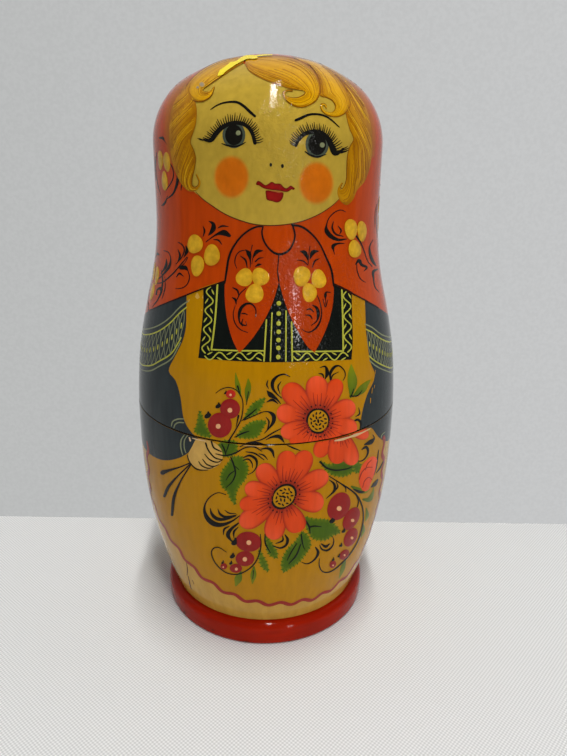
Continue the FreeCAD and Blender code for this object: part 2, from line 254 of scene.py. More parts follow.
def smooth(points, step):
    """A curve through points, of two numbers or more each, sampled about every step."""
    p = np.array(points, float)
    if len(p) == 2:
        count = max(1, math.ceil(np.linalg.norm(p[1, :2] - p[0, :2]) / step))
        return p[0] + (p[1] - p[0]) * np.linspace(0, 1, count + 1)[:, None]
    closed = np.allclose(p[0, :2], p[-1, :2])
    before, after = (p[-2], p[1]) if closed else (2 * p[0] - p[1], 2 * p[-1] - p[-2])
    p = np.concatenate([[before], p, [after]])
    runs = []
    for a, b, c, d in zip(p, p[1:], p[2:], p[3:]):
        count = max(1, math.ceil(np.linalg.norm(c[:2] - b[:2]) / step))
        t = np.linspace(0, 1, count + 1)[:-1, None]
        run = b + (c - a) / 2 * t + (2 * a - 5 * b + 4 * c - d) / 2 * t**2
        runs.append(run + (3 * b - a - 3 * c + d) / 2 * t**3)
    return np.concatenate([*runs, p[-2:-1]])


def evenly(points, count):
    """A curve through points, sampled at so many places that are evenly far apart."""
    line = smooth(points, CURVE_STEP)
    gone = np.concatenate([[0], np.cumsum(np.linalg.norm(np.diff(line[:, :2], axis=0), axis=1))])
    at = np.linspace(0, gone[-1], count)
    return np.stack([np.interp(at, gone, line[:, k]) for k in range(line.shape[1])], 1)


def joined(runs, step):
    """A closed outline from smooth runs that meet in corners."""
    return np.concatenate([smooth(run, step)[:-1, :2] for run in runs])


def closed(points, step):
    """A smooth closed outline."""
    return smooth(points, step)[:-1, :2]


def between(first, second, share):
    """A place or curve a share of the way from one to another."""
    return first * (1 - share) + second * share


def brushed(line, widths):
    """A line with its width at each place: one for all of them, or one for each."""
    return [(*p, w) for p, w in zip(line, np.broadcast_to(widths, len(line)))]


def ways(line):
    """Unit directions along a line and to its side."""
    along = np.gradient(line, axis=0)
    along /= np.maximum(np.linalg.norm(along, axis=1), SAME_PLACE)[:, None]
    return along, np.stack([-along[:, 1], along[:, 0]], 1)


def turned_by(x, y, degrees):
    """Places turned clockwise in the photograph."""
    lean = math.radians(degrees)
    return x * math.cos(lean) - y * math.sin(lean), x * math.sin(lean) + y * math.cos(lean)


def from_edge(places, outline):
    """Distance from each place to the nearest edge of an outline."""
    a, along = outline, np.roll(outline, -1, axis=0) - outline
    length = np.maximum((along**2).sum(1), TINY)
    part = (((places[:, None] - a) * along).sum(2) / length).clip(0, 1)
    return np.linalg.norm(places[:, None] - (a + part[..., None] * along), axis=2).min(1)


def within(places, outline):
    """Which places lie inside an outline."""
    a, b = outline, np.roll(outline, -1, axis=0)
    x, y = places[:, :1], places[:, 1:2]
    spans = (a[:, 1] > y) != (b[:, 1] > y)
    rise = np.where(a[:, 1] == b[:, 1], TINY, b[:, 1] - a[:, 1])
    return ((spans & (x < a[:, 0] + (y - a[:, 1]) * (b[:, 0] - a[:, 0]) / rise)).sum(1) % 2) == 1


def fill(outline, spacing):
    """Places and triangles that fill an outline, with places inside it about every spacing."""
    low, high = outline.min(0), outline.max(0)
    x, y = np.meshgrid(np.arange(low[0], high[0], spacing), np.arange(low[1], high[1], spacing * ROW_SHARE))
    x[1::2] += spacing / 2
    grid = np.stack([x.ravel(), y.ravel()], 1)
    grid = grid[within(grid, outline)]
    if len(grid):
        grid = grid[from_edge(grid, outline) > spacing * EDGE_CLEAR_SHARE]
    places = [Vector(p) for p in np.concatenate([outline, grid])]
    result = delaunay_2d_cdt(places, [], [list(range(len(outline)))], 1, MERGE, False)
    places, faces = np.array([tuple(v) for v in result[0]]), [tuple(f) for f in result[2]]
    inside = within(np.array([places[list(f)].mean(0) for f in faces]), outline)
    return places, [f for f, kept in zip(faces, inside) if kept]


def grid_faces(rows, columns):
    """Quads between neighbouring rows and columns of a grid of places."""
    at = np.arange(rows * columns).reshape(rows, columns)
    corners = [at[:-1, :-1], at[1:, :-1], at[1:, 1:], at[:-1, 1:]]
    return [tuple(int(i) for i in f) for f in np.stack([c.ravel() for c in corners], 1)]


def blended(mix, first, second):
    """Tints from first, where mix is 0, to second, where it is 1."""
    return (1 - mix) * np.array(first) + mix * np.array(second)


# Brushes

FINE_BELOW = 2  # from this detail on, marks finer than a brush can leave are left out
MOST_LIFT, COARSEST_FILL = 5.0, 1.6
THINNEST, THINNEST_EASE = 0.4, 0.1
ROUND_ENDS = {True: [0.97, 0.72], False: [0.9]}
DAB_RINGS, DAB_SIDES, DAB_LEAST_SIDES = {True: 5, False: 3}, 18, 8
ROW_LENGTH, LEAST_ROWS, LEAST_COLUMNS = 2.2, 6, 5  # of a lock or petal
LOCK_COLUMNS, LOCK_BODY = 15, 0.12

# A lock's shading: shares of its width and how much of the dark tone each brings
INNER_SHADE, OUTER_SHADE = 0.42, 0.22
STREAK_TONE, SHADE_TONE, END_TONE, TWIST_TONE = 0.26, 0.68, 0.2, 0.62
STREAK_FLOW, STREAK_WAVES, STREAK_SHIFT = 0.45, 9, 6
TWISTS, TWIST_SLANT, TWIST_EDGE = 5, 1.5, 2.2

# A petal's shape and shading, as shares of its length and width
PETAL_BROAD, PETAL_WAIST, PETAL_ROUND, PETAL_CROWN = 0.62, 0.2, 2.6, 0.14
ROOT_SHARE, TIP_SHARE, RIM_TONE, RIM_FADE, RIM_EDGE = 0.45, 0.5, 0.95, 0.4, 7
VEINS, VEIN_SPREAD, VEIN_WIDTHS = 3, 1.1, (1.1, 0.8, 0.4)
VEIN_START, VEIN_LENGTH, VEIN_LENGTH_MORE, VEIN_BEND, VEIN_RISE = 0.1, 0.4, 0.22, 0.1, 0.15


class Pot:
    """Painted shapes that belong together, as angles, heights and lifts on the largest doll.

    detail is 1 for the largest doll and grows as the doll shrinks, so that a small doll isn't given marks
    finer than a brush can leave.
    """

    def __init__(self, detail):
        self.detail, self.fine = detail, detail < FINE_BELOW
        self.coats = []
        self.random = random.Random(7)

    def add(self, places, lifts, faces, tints, round_shape):
        """Lays a coat on the wood. On a small doll, coarser faces need to stand a little higher off it."""
        chart = from_round if round_shape else from_photo
        angle, height = chart(np.asarray(places, float)[:, :2])
        count = len(places)
        lifts = np.broadcast_to(np.asarray(lifts, float), count) * min(self.detail**2, MOST_LIFT)
        at = on_surface(angle, height, lifts)
        middle = np.array([at[list(f)].mean(0) for f in faces])
        corners = np.array([[at[f[0]], at[f[1]], at[f[2]]] for f in faces])
        normal = np.cross(corners[:, 1] - corners[:, 0], corners[:, 2] - corners[:, 0])
        turn = np.arctan2(middle[:, 0], -middle[:, 1])
        out = on_surface(turn, middle[:, 2], 1.0) - on_surface(turn, middle[:, 2], 0.0)
        faces = [f if way >= 0 else f[::-1] for f, way in zip(faces, (normal * out).sum(1))]
        self.coats.append((at, faces, np.broadcast_to(np.asarray(tints, float), (count, 3))))

    def add_grid(self, places, lifts, tints, round_shape=False):
        """Lays a coat whose places stand in rows and columns."""
        rows, columns = places.shape[:2]
        self.add(places.reshape(-1, 2), lifts.ravel(), grid_faces(rows, columns), tints, round_shape)

    def zone(self, outline, lift, tint, round_shape=False, spacing=4.5, heart_tint=None, depth=6.0):
        """A flat coat of paint inside an outline, shading to heart_tint a depth in from its edge."""
        places, faces = fill(np.asarray(outline), spacing * min(self.detail, COARSEST_FILL))
        tints = np.array(tint)
        if heart_tint is not None:
            mix = (from_edge(places, outline) / depth).clip(0, 1)[:, None]
            tints = blended(mix, tint, heart_tint)
        self.add(places, lift, faces, tints, round_shape)

    def stroke(self, points, lift, tint, round_shape=False, body=0.05, end_tint=None, across=3, step=1.3):
        """One brush stroke through (x, y, width) points, with round ends and a slightly domed back."""
        line = smooth(points, step * self.detail)
        centre, width = line[:, :2], np.maximum(line[:, 2], THINNEST * self.detail - THINNEST_EASE)
        along, _ = ways(centre)
        reach = np.array(ROUND_ENDS[self.fine])
        wide = np.sqrt(1 - reach**2)
        head = centre[0] - np.outer(reach, along[0]) * width[0] / 2
        tail = centre[-1] + np.outer(reach[::-1], along[-1]) * width[-1] / 2
        centre = np.concatenate([head, centre, tail])
        width = np.concatenate([wide * width[0], width, wide[::-1] * width[-1]])
        along = np.concatenate([along[:1].repeat(len(reach), 0), along, along[-1:].repeat(len(reach), 0)])
        side = np.stack([-along[:, 1], along[:, 0]], 1)
        spread = np.linspace(-0.5, 0.5, across)
        places = centre[:, None] + side[:, None] * (width[:, None] * spread)[..., None]
        lifts = lift + body * np.broadcast_to(1 - (2 * spread) ** 2, places.shape[:2])
        part = np.linspace(0, 1, len(centre)).repeat(across)[:, None]
        self.add_grid(places, lifts, blended(part, tint, tint if end_tint is None else end_tint), round_shape)

    def strokes(self, lines, lift, tint, **more):
        """Several strokes with one brush."""
        for line in lines:
            self.stroke(line, lift, tint, **more)

    def dab(self, centre, half_wide, half_high, lift, tint, tilt=0.0, body=0.16, edge_tint=None,
            round_shape=False, fade=3, unround=0.0):
        """A round or oval touch of thick paint, tilted clockwise by degrees."""
        rings = DAB_RINGS[self.fine]
        sides = max(DAB_LEAST_SIDES, round((DAB_SIDES + half_wide) / self.detail**0.5))
        part = np.linspace(0, 1, rings + 1)[1:]
        turn = np.linspace(0, 2 * math.pi, sides, endpoint=False)
        shape = np.ones(sides)
        if unround:
            for bumps in (2, 3):
                shape += unround * np.sin(bumps * turn + 2 * math.pi * self.random.random())
        x = np.outer(part, np.cos(turn) * shape).ravel() * half_wide
        y = np.outer(part, np.sin(turn) * shape).ravel() * half_high
        ring = np.stack(turned_by(x, y, tilt), 1)
        places = np.concatenate([[(0, 0)], ring]) + np.array(centre)
        part = np.concatenate([[0], part.repeat(sides)])
        faces = [(0, 1 + (i + 1) % sides, 1 + i) for i in range(sides)]
        for first in range(1, 1 + (rings - 1) * sides, sides):
            for i in range(sides):
                a, b = first + i, first + (i + 1) % sides
                faces.append((a, b, b + sides, a + sides))
        tints = blended((part**fade)[:, None], tint, tint if edge_tint is None else edge_tint)
        self.add(places, lift + body * np.sqrt(1 - part**4), faces, tints, round_shape)

    def lock(self, inner, outer, lift, light, dark, twists):
        """A lock of hair between two curves from its root to its tip, streaked along its length."""
        rows = max(LEAST_ROWS, round(len(smooth(outer, 1.0)) / (ROW_LENGTH * self.detail)))
        columns = max(LEAST_COLUMNS, round(LOCK_COLUMNS / self.detail**0.5))
        edges = [evenly(curve, rows)[:, None] for curve in (inner, outer)]
        across = np.linspace(0, 1, columns)
        places = between(*edges, across[None, :, None])
        streak = np.array([self.random.random() for _ in range(columns)])
        wave = np.array([self.random.random() for _ in range(columns)]) * STREAK_SHIFT
        shade = (1 - across / INNER_SHADE).clip(0, 1) ** 0.8
        shade = shade + ((across - (1 - OUTER_SHADE)) / OUTER_SHADE).clip(0, 1)
        ends = np.abs(np.linspace(-1, 1, rows)) ** 3
        flow = 0.5 + 0.5 * np.sin(np.linspace(0, STREAK_WAVES, rows)[:, None] + wave[None])
        streak = streak[None] * (1 - STREAK_FLOW + STREAK_FLOW * flow)
        mix = STREAK_TONE * streak + SHADE_TONE * shade[None] + END_TONE * ends[:, None]
        if twists:
            strand = np.linspace(0, twists, rows)[:, None] - TWIST_SLANT * across[None]
            mix = mix * TWIST_TONE + TWIST_TONE * (strand % 1) ** TWIST_EDGE
        tints = blended(mix.clip(0, 1)[..., None], light, dark)
        lifts = lift + LOCK_BODY * np.broadcast_to(1 - np.linspace(-1, 1, columns) ** 2, (rows, columns))
        self.add_grid(places, lifts, tints.reshape(-1, 3))

    def petal(self, root, tip, half_wide, lift, shades):
        """A petal from the flower's heart to its tip: dark at the root and the rim, with darker veins."""
        length = np.linalg.norm(tip - root)
        along = (tip - root) / length
        side = np.array([-along[1], along[0]])
        rows = max(LEAST_ROWS, round(length / (ROW_LENGTH * self.detail)))
        columns = 9 if self.fine else 5
        s = np.sin(np.linspace(0, math.pi / 2, rows))
        rise = (s / PETAL_BROAD).clip(0, 1)
        swell = np.sin(math.pi / 2 * (PETAL_WAIST + (1 - PETAL_WAIST) * rise))
        fall = ((s - PETAL_BROAD) / (1 - PETAL_BROAD)).clip(0, 1)
        shape = np.where(s < PETAL_BROAD, swell, np.sqrt((1 - fall**PETAL_ROUND).clip(1e-4, 1)))
        spread = np.linspace(-1, 1, columns)
        places = root + (s * length)[:, None, None] * along
        places = places + (half_wide * np.outer(shape, spread))[..., None] * side
        start, middle, end = shades
        s = s[:, None, None]
        low, high = (1 - s / ROOT_SHARE).clip(0, 1) ** 1.3, ((s - TIP_SHARE) / TIP_SHARE).clip(0, 1)
        tints = blended(low, blended(high, middle, end), start)
        rim = RIM_TONE * (np.abs(spread) ** RIM_EDGE)[None, :, None] * (1 - RIM_FADE * high)
        tints = blended(rim, tints, PETAL_LINE)
        lifts = lift + PETAL_CROWN * np.outer(shape, np.sqrt(1 - 0.98 * spread**2))
        self.add_grid(places, lifts, tints.reshape(-1, 3))
        for k in range(VEINS if self.fine else 0):
            off = side * (k - (VEINS - 1) / 2) * VEIN_SPREAD * half_wide / VEINS
            first = root + along * length * VEIN_START + off / 2
            last = root + along * length * (VEIN_LENGTH + VEIN_LENGTH_MORE * self.random.random()) + off
            run = (first, (first + last) / 2 + VEIN_BEND * off, last)
            self.stroke(brushed(run, VEIN_WIDTHS), lift + VEIN_RISE, PETAL_LINE, body=0.02)


# The face, in pixels of the photograph
FACE_EDGE = [
    (243, 60), (222, 68), (204, 82), (191, 102), (186, 130), (185, 165), (192, 188), (200, 196.5), (210, 204),
    (220, 211), (230, 216.3), (240, 220.2), (250, 223.3), (260, 225), (270, 225.2), (280, 224.8),
    (290, 223.6), (300, 221.5), (310, 218.2), (320, 213.4), (330, 207), (339, 199.5), (349, 185), (357, 150),
    (356, 115), (345, 88), (325, 72), (296, 60), (265, 57.5), (243, 60),
]
CHIN_LINE = [
    (196, 192, 0.5), (203, 199, 0.8), (212, 205.6, 1), (224, 213.4, 1), (238, 219.6, 1.1), (254, 224.2, 1.1),
    (270, 225.5, 1.1), (288, 224.2, 1), (304, 220.6, 1), (320, 213.6, 0.9), (332, 205.6, 0.8),
    (339, 199, 0.5),
]
LEFT_LID = [
    (204, 140.3, 1.2), (211, 140.3, 4.2), (216, 134, 4.8), (222, 127.8, 4.6), (231, 123.6, 4.2),
    (240, 123.2, 4), (248, 127, 3.8), (252.6, 134, 3.6), (255, 143, 3.6),
]
LEFT_LOWER_LID = [(222, 143.6, 0.9), (228, 145.6, 1.8), (236, 146.4, 1.9), (242, 144.4, 1.4), (246, 142, 0.6)]
RIGHT_LID = [
    (295.8, 146, 2.2), (298.4, 140, 3.6), (304, 134.4, 4), (312, 131.8, 4.4), (320, 132.8, 4.8),
    (327, 138, 5.2), (331, 145, 5.6), (334.6, 152.4, 6.4), (339, 152.4, 3), (342, 148.6, 0.7),
]
RIGHT_LOWER_LID = [(305, 151.6, 1.2), (310, 155, 2), (316, 156.8, 2), (321, 156, 1.4), (326, 154.4, 0.6)]
LEFT_BROW = [
    (211, 109.6, 0.8), (217, 105.6, 1.1), (224, 103, 1.3), (232, 102, 1.6), (238, 102.8, 1.9),
    (244, 106.4, 2.1), (250, 112, 2.2), (255, 116.4, 1.8),
]
RIGHT_BROW = [
    (295.6, 120.4, 2), (301, 118.2, 2.2), (307, 115.4, 1.9), (313, 114.3, 1.7), (320, 114.8, 1.6),
    (327, 117.2, 1.4), (333, 121.6, 1.2), (339, 127.2, 0.7),
]
UPPER_LIP = [
    (256, 184), (257, 181.6), (258.6, 180.8), (261, 182), (263.5, 184), (265.5, 185), (268, 184), (271, 182),
    (273, 182), (275, 183.4), (279.5, 183.6), (281.5, 184.6), (283.6, 187), (286, 188.2), (288.5, 187),
    (290, 185.7), (291.6, 185.8), (293, 187), (294.8, 188.3), (293.6, 189.9), (291.5, 189.2), (290, 190.4),
    (287.5, 191.8), (284, 191.7), (279, 190.7), (272, 190), (266, 189), (262, 187.4), (259, 185.4),
    (257, 185.1), (256, 184),
]
LOWER_LIP = [
    (266, 190.6), (265.8, 195), (266.4, 198.8), (268.4, 200.4), (272, 201.2), (276, 202.4), (278.6, 202.2),
    (281, 200.6), (282.8, 197.6), (283.5, 194), (282.8, 192.4), (278, 191.6), (272, 190.8), (266, 190.6),
]
# A painted highlight: a pale line along the top of the lower lip, where the lacquer shines.
LIP_HIGHLIGHT = [(271, 191.2, 0.4), (275, 191.5, 0.8), (278.6, 192.2, 1.5), (282, 192.2, 0.5)]

# The hair: each lock is an inner and an outer curve from its root to its tip
LOCKS = [
    ([(322, 66), (337, 78), (346, 92), (346, 104), (345.5, 112), (347.5, 122), (350.5, 132), (353.5, 139),
      (349, 148), (347, 158), (346.4, 170), (346, 180), (343.6, 186.5), (341, 190), (340.4, 187),
      (342.2, 183.2)],
     [(322, 62.6), (343, 76), (355, 90), (364, 104), (369, 118), (371.6, 132), (372, 145), (371.6, 155),
      (369.4, 168), (364.6, 181), (357, 190), (353, 199), (347, 205), (341, 202), (337.4, 195), (337.8, 188),
      (341.6, 182.4)]),
    ([(300, 61), (312, 68), (319, 80), (320.5, 92), (320.6, 96.4), (327, 98), (333, 102), (335.2, 108),
      (332, 112.6), (326, 112.2), (322.2, 108.6), (322.6, 105.2), (325, 106), (325.8, 108.2)],
     [(292, 57.4), (318, 62.6), (335, 75), (346, 90), (350, 104), (346, 112), (339, 116.5), (331, 116.5),
      (324, 113.5), (320.4, 108), (321, 104.4), (323.6, 103.7), (326.6, 105.7), (326.2, 108.6)]),
    ([(245, 64), (250, 72), (262, 79), (276, 84.4), (290, 89), (303, 91), (305, 93.6), (298, 97.8), (290, 98),
      (284.6, 95.2), (285, 93), (288, 91.4), (292, 91.9)],
     [(247, 57.6), (270, 55.8), (292, 58.6), (308, 66), (317, 77), (320, 89), (317, 99.5), (308, 106),
      (298, 107.4), (288.4, 103), (283, 95.6), (283.8, 92), (288, 90.3), (292.4, 91)]),
    ([(190, 95), (195, 101), (197, 112), (196, 124), (193, 134), (190.8, 142), (194, 150), (196, 158),
      (195, 168), (192.6, 178), (192.6, 186), (197, 186.6), (199.4, 182), (196.6, 174.8)],
     [(186, 84), (177, 98), (172, 110), (170, 125), (170, 138), (171, 152), (173.5, 165), (177.5, 176),
      (183, 185.5), (190, 191.4), (197.4, 189.8), (201, 183), (197.2, 173.8)]),
    ([(244, 63), (234, 69), (222, 77), (210, 85), (203, 90.2), (206, 92.6), (211, 91.6), (214, 87.8)],
     [(243, 57), (222, 61), (203, 70), (190, 82), (186, 92), (192, 100), (202, 102), (211, 97),
      (214.8, 87.6)]),
]
TWISTED_LOCKS = (0, 3)
CHIP = [
    (218.2, 77.4), (219.4, 74), (221, 71.2), (224.6, 68.8), (228, 66.4), (231, 63.9), (236, 63), (240, 60.4),
    (245, 57.4), (250, 56.8), (255, 57.2), (257.8, 59.4), (254, 60.6), (248, 60.6), (242.6, 62.8),
    (237, 65.8), (231.4, 69.6), (226.4, 73), (223, 76.4), (220, 77.2), (218.2, 77.4),
]

# The kerchief's dabs as (x, y, half width, half height)
PHOTO_DABS = [
    (195.4, 244, 7.4, 9.8), (212.2, 255.2, 8.2, 10.4), (197.8, 265.6, 6.6, 10.4), (350.5, 229, 6.2, 10.5),
    (361.4, 231, 4.6, 10.4), (354.2, 249, 6.2, 9), (244.6, 277.4, 8.2, 9.2), (260.4, 276.8, 8.4, 9.2),
    (254.8, 293.6, 9.2, 9.4), (301.6, 276, 8.6, 9.8), (318.4, 279, 7.4, 9.4), (309.2, 292.6, 7.4, 9.2),
]
# Three dabs in a trio, as millimetres round and up from its middle and their half width and height
TRIO = [(-3.2, 3.4, 2.9, 3.7), (3.2, 3.0, 2.9, 3.7), (0.3, -4.2, 2.9, 3.8)]
ROUND_TRIOS = [
    (-58, 207), (-70, 162), (82, 190), (-104, 189), (-112, 142), (108, 158), (-143, 212), (138, 206),
    (-148, 166), (146, 170), (180, 190), (157, 139),
]

# Kerchief, tails and yoke in pixels
LEFT_TAIL = [
    [(263, 226), (256, 227), (248, 231), (240, 238), (233, 248), (229, 258), (227, 270), (225, 284),
     (225, 300), (227, 318), (231, 335), (236, 347), (239.5, 352.8)],
    [(239.5, 352.8), (246, 346), (255, 335), (266, 317), (273.6, 300), (279, 281)],
    [(279, 281), (278, 268), (279, 255), (270, 249.5), (264, 241), (262, 233), (263, 226)],
]
RIGHT_TAIL = [
    [(293, 225.4), (302, 227), (312, 234.6), (320, 245), (326, 258), (331, 270), (333.4, 285), (332.4, 305),
     (328.4, 322), (322, 338), (314.4, 352.6)],
    [(314.4, 352.6), (307, 346), (300, 335), (291, 318), (284, 300), (279, 281)],
    [(279, 281), (278, 268), (279, 255), (288, 250.6), (293, 243), (294.6, 235), (293, 225.4)],
]
TAIL_LINES = [
    [(262.6, 226.4, 1.2), (256, 227, 1.8), (248, 231, 1.9), (240, 238, 1.9), (233, 248, 2), (229, 258, 2.2),
     (227, 270, 2.2), (225, 283, 1.7)],
    [(292, 224.8, 2.2), (302, 227, 2.2), (312, 234.6, 1.9), (320, 245, 1.7), (326, 258, 1.9), (331, 270, 2.2),
     (333.4, 286, 1.9)],
    [(263, 226.4, 1.4), (262, 233, 1.7), (264, 241, 1.8), (269, 248.6, 1.9), (275.5, 253.4, 2.3),
     (282, 254, 2.4), (289, 250, 2), (293, 243, 1.7), (294.8, 235, 1.6), (292.6, 225.4, 1.9)],
    [(278.8, 255, 1.4), (278.2, 262, 1.2), (277.6, 271, 1.2), (278.8, 281, 1.6)],
]
YOKE = [
    [(203.4, 288.6), (203.2, 310), (200.4, 340), (198.4, 358)],
    [(198.4, 358), (236, 361), (273, 362.2), (312, 361.4), (351.4, 359.6)],
    [(351.4, 359.6), (352.6, 340), (352, 315), (351.6, 293.4)],
    [(351.6, 293.4), (334, 284.6), (279, 266), (226, 280.6), (203.4, 288.6)],
]
HEM_LINES = [
    [(150, 310, 0.5), (165, 303.7, 1.0), (185, 295.8, 1.4), (203.4, 288.6, 1.5), (226, 280.6, 1.1)],
    [(334, 284.8, 1.0), (342, 288.4, 1.5), (351.6, 293.4, 1.7), (365, 300.4, 1.4), (378, 307.6, 0.7)],
]
YOKE_TRIM = [
    [(217.6, 285, 1.7), (215.4, 318, 1.7), (211.6, 349.4, 1.7)],
    [(211.4, 349.6, 1.5), (237, 350.6, 1.5), (264.5, 350.8, 1.5)],
    [(341.6, 290, 1.6), (342.6, 320, 1.6), (343, 350.6, 1.6)],
    [(343, 351, 1.5), (318, 351.4, 1.5), (293, 351.4, 1.5)], [(266.4, 320, 1.5), (264, 361, 1.5)],
    [(272, 313, 1.3), (270.4, 361, 1.3)], [(286, 311, 1.4), (285.8, 361, 1.4)],
    [(291.6, 322, 1.5), (292.2, 361, 1.6)],
]
# The yoke's wavy borders: a run and its number of bays
YOKE_BORDERS = [
    ([(210.6, 287), (208.4, 318), (205.4, 353)], 7), ([(205, 356), (236, 356), (264, 356.4)], 6),
    ([(346.6, 291), (347.4, 320), (347.6, 352)], 6), ([(347.6, 356), (320, 356.6), (293.4, 356.4)], 6),
]
BUTTONS = [
    (278.8, 303.4), (278.7, 313.6), (278.6, 323.4), (278.6, 331.8), (278.4, 340), (278.4, 348), (278.2, 357),
]
BUTTON_RADIUS = 2.3

# Apron, sleeves and hem as degrees from the face and millimetres up
HEM = [
    (-180, 113), (-160, 116), (-135, 124), (-110, 134), (-88, 142.5), (-70, 149.3), (-52, 156.2),
    (-38, 161.5), (-29, 165.6), (-19, 168.6), (0, 172), (19, 170.6), (31, 167), (40, 163), (49, 158.6),
    (60, 154), (72, 149), (90, 142), (112, 133.6), (136, 124), (160, 116), (180, 113),
]
LEFT_SLEEVE = [
    (-38, 163), (-37, 156), (-36, 150), (-37, 144), (-40, 138), (-43.4, 131), (-39, 128), (-36, 122),
    (-34, 113), (-30, 108), (-26.6, 105.6), (-31, 100), (-37, 95), (-46, 90.6), (-56, 88.4), (-68, 87.4),
    (-82, 89), (-96, 95), (-106, 106), (-112, 122), (-113, 137),
]
RIGHT_SLEEVE = [
    (49.6, 160), (48, 152), (47, 146), (47.6, 135), (50.6, 127.4), (44.6, 121), (41.4, 114), (41, 107.4),
    (47.6, 105.6), (52, 101), (56, 97.4), (63, 93), (72, 90), (84, 91), (97, 96), (107, 107), (112, 122),
    (113, 137),
]
WAVE_LINE = [
    (-62, 92), (-64, 76), (-66, 64), (-60, 55), (-48, 46), (-40, 39.6), (-34, 35), (-21, 29), (-8, 25),
    (6, 23), (21, 22), (30, 22), (39, 23.4), (54, 28), (63, 37), (66, 52), (64, 70), (60, 96),
]
SLEEVE_BANDS = [
    ([(-37, 157.6), (-41, 154.6), (-46, 150), (-53, 145.6), (-62, 142), (-74, 139), (-86, 139), (-95, 138.4)],
     [(-38, 144.6), (-40, 141), (-43, 137), (-50, 132.6), (-58, 128.4), (-72, 125), (-88, 125.4),
      (-103, 127.4)]),
    ([(47, 148), (52, 145.6), (58, 142), (66, 138.6), (76, 136), (87, 136.4), (96, 137.4)],
     [(47.4, 136), (52, 132.6), (61, 128), (72, 124), (88, 123.6), (103, 126)]),
]
CUFFS = [
    [(171.6, 426, 0.8), (173, 421.4, 1.3), (178, 419, 1.4), (184, 418.8, 1)],
    [(174, 428, 0.8), (175.4, 424.4, 1.2), (179, 422.4, 1.2), (184, 422.6, 1)],
    [(184.6, 434.6, 0.8), (181.4, 440, 1.3), (181, 447, 1.3), (182.8, 454.6, 0.9)],
    [(188.4, 434.6, 0.8), (184.8, 440, 1.1), (184.4, 447, 1.1), (186, 452.6, 0.8)],
    [(384.6, 432, 0.8), (381.8, 434.6, 1.1), (380.6, 438, 0.8)],
]
CUFF_LIGHT = [(189.6, 437.6, 1.4), (190.6, 440.6, 1.6)]
HAND_EDGE = [
    (197, 439), (206, 439.6), (213, 442), (219, 446), (222.4, 452), (222.4, 458.4), (220, 463.4),
    (214, 467.8), (206, 469.6), (199, 468.6), (193, 465), (189.6, 460), (188.6, 454), (192, 447), (197, 439),
]
FINGERS = [
    [(206, 443, 1.6), (208.6, 450, 1.5), (215, 457.4, 1.4), (223, 459.6, 0.8)],
    [(211.6, 441, 1.6), (214, 447.4, 1.5), (221.4, 451.4, 1)],
    [(205, 454, 0.8), (210, 459.4, 1.3), (217, 462, 1.2), (222, 460, 0.7)],
    [(203, 459, 0.8), (207, 464, 1.3), (213.4, 466.2, 1.2), (219, 464.4, 0.7)],
    [(199, 461.4, 0.8), (202, 465.4, 1.2), (208, 468, 1.2), (213.4, 467.4, 0.7)],
    [(187.6, 455, 1), (189.4, 460.6, 1.1), (193.6, 466.4, 1.2), (199, 469.6, 1.2), (208, 469.8, 0.8)],
]

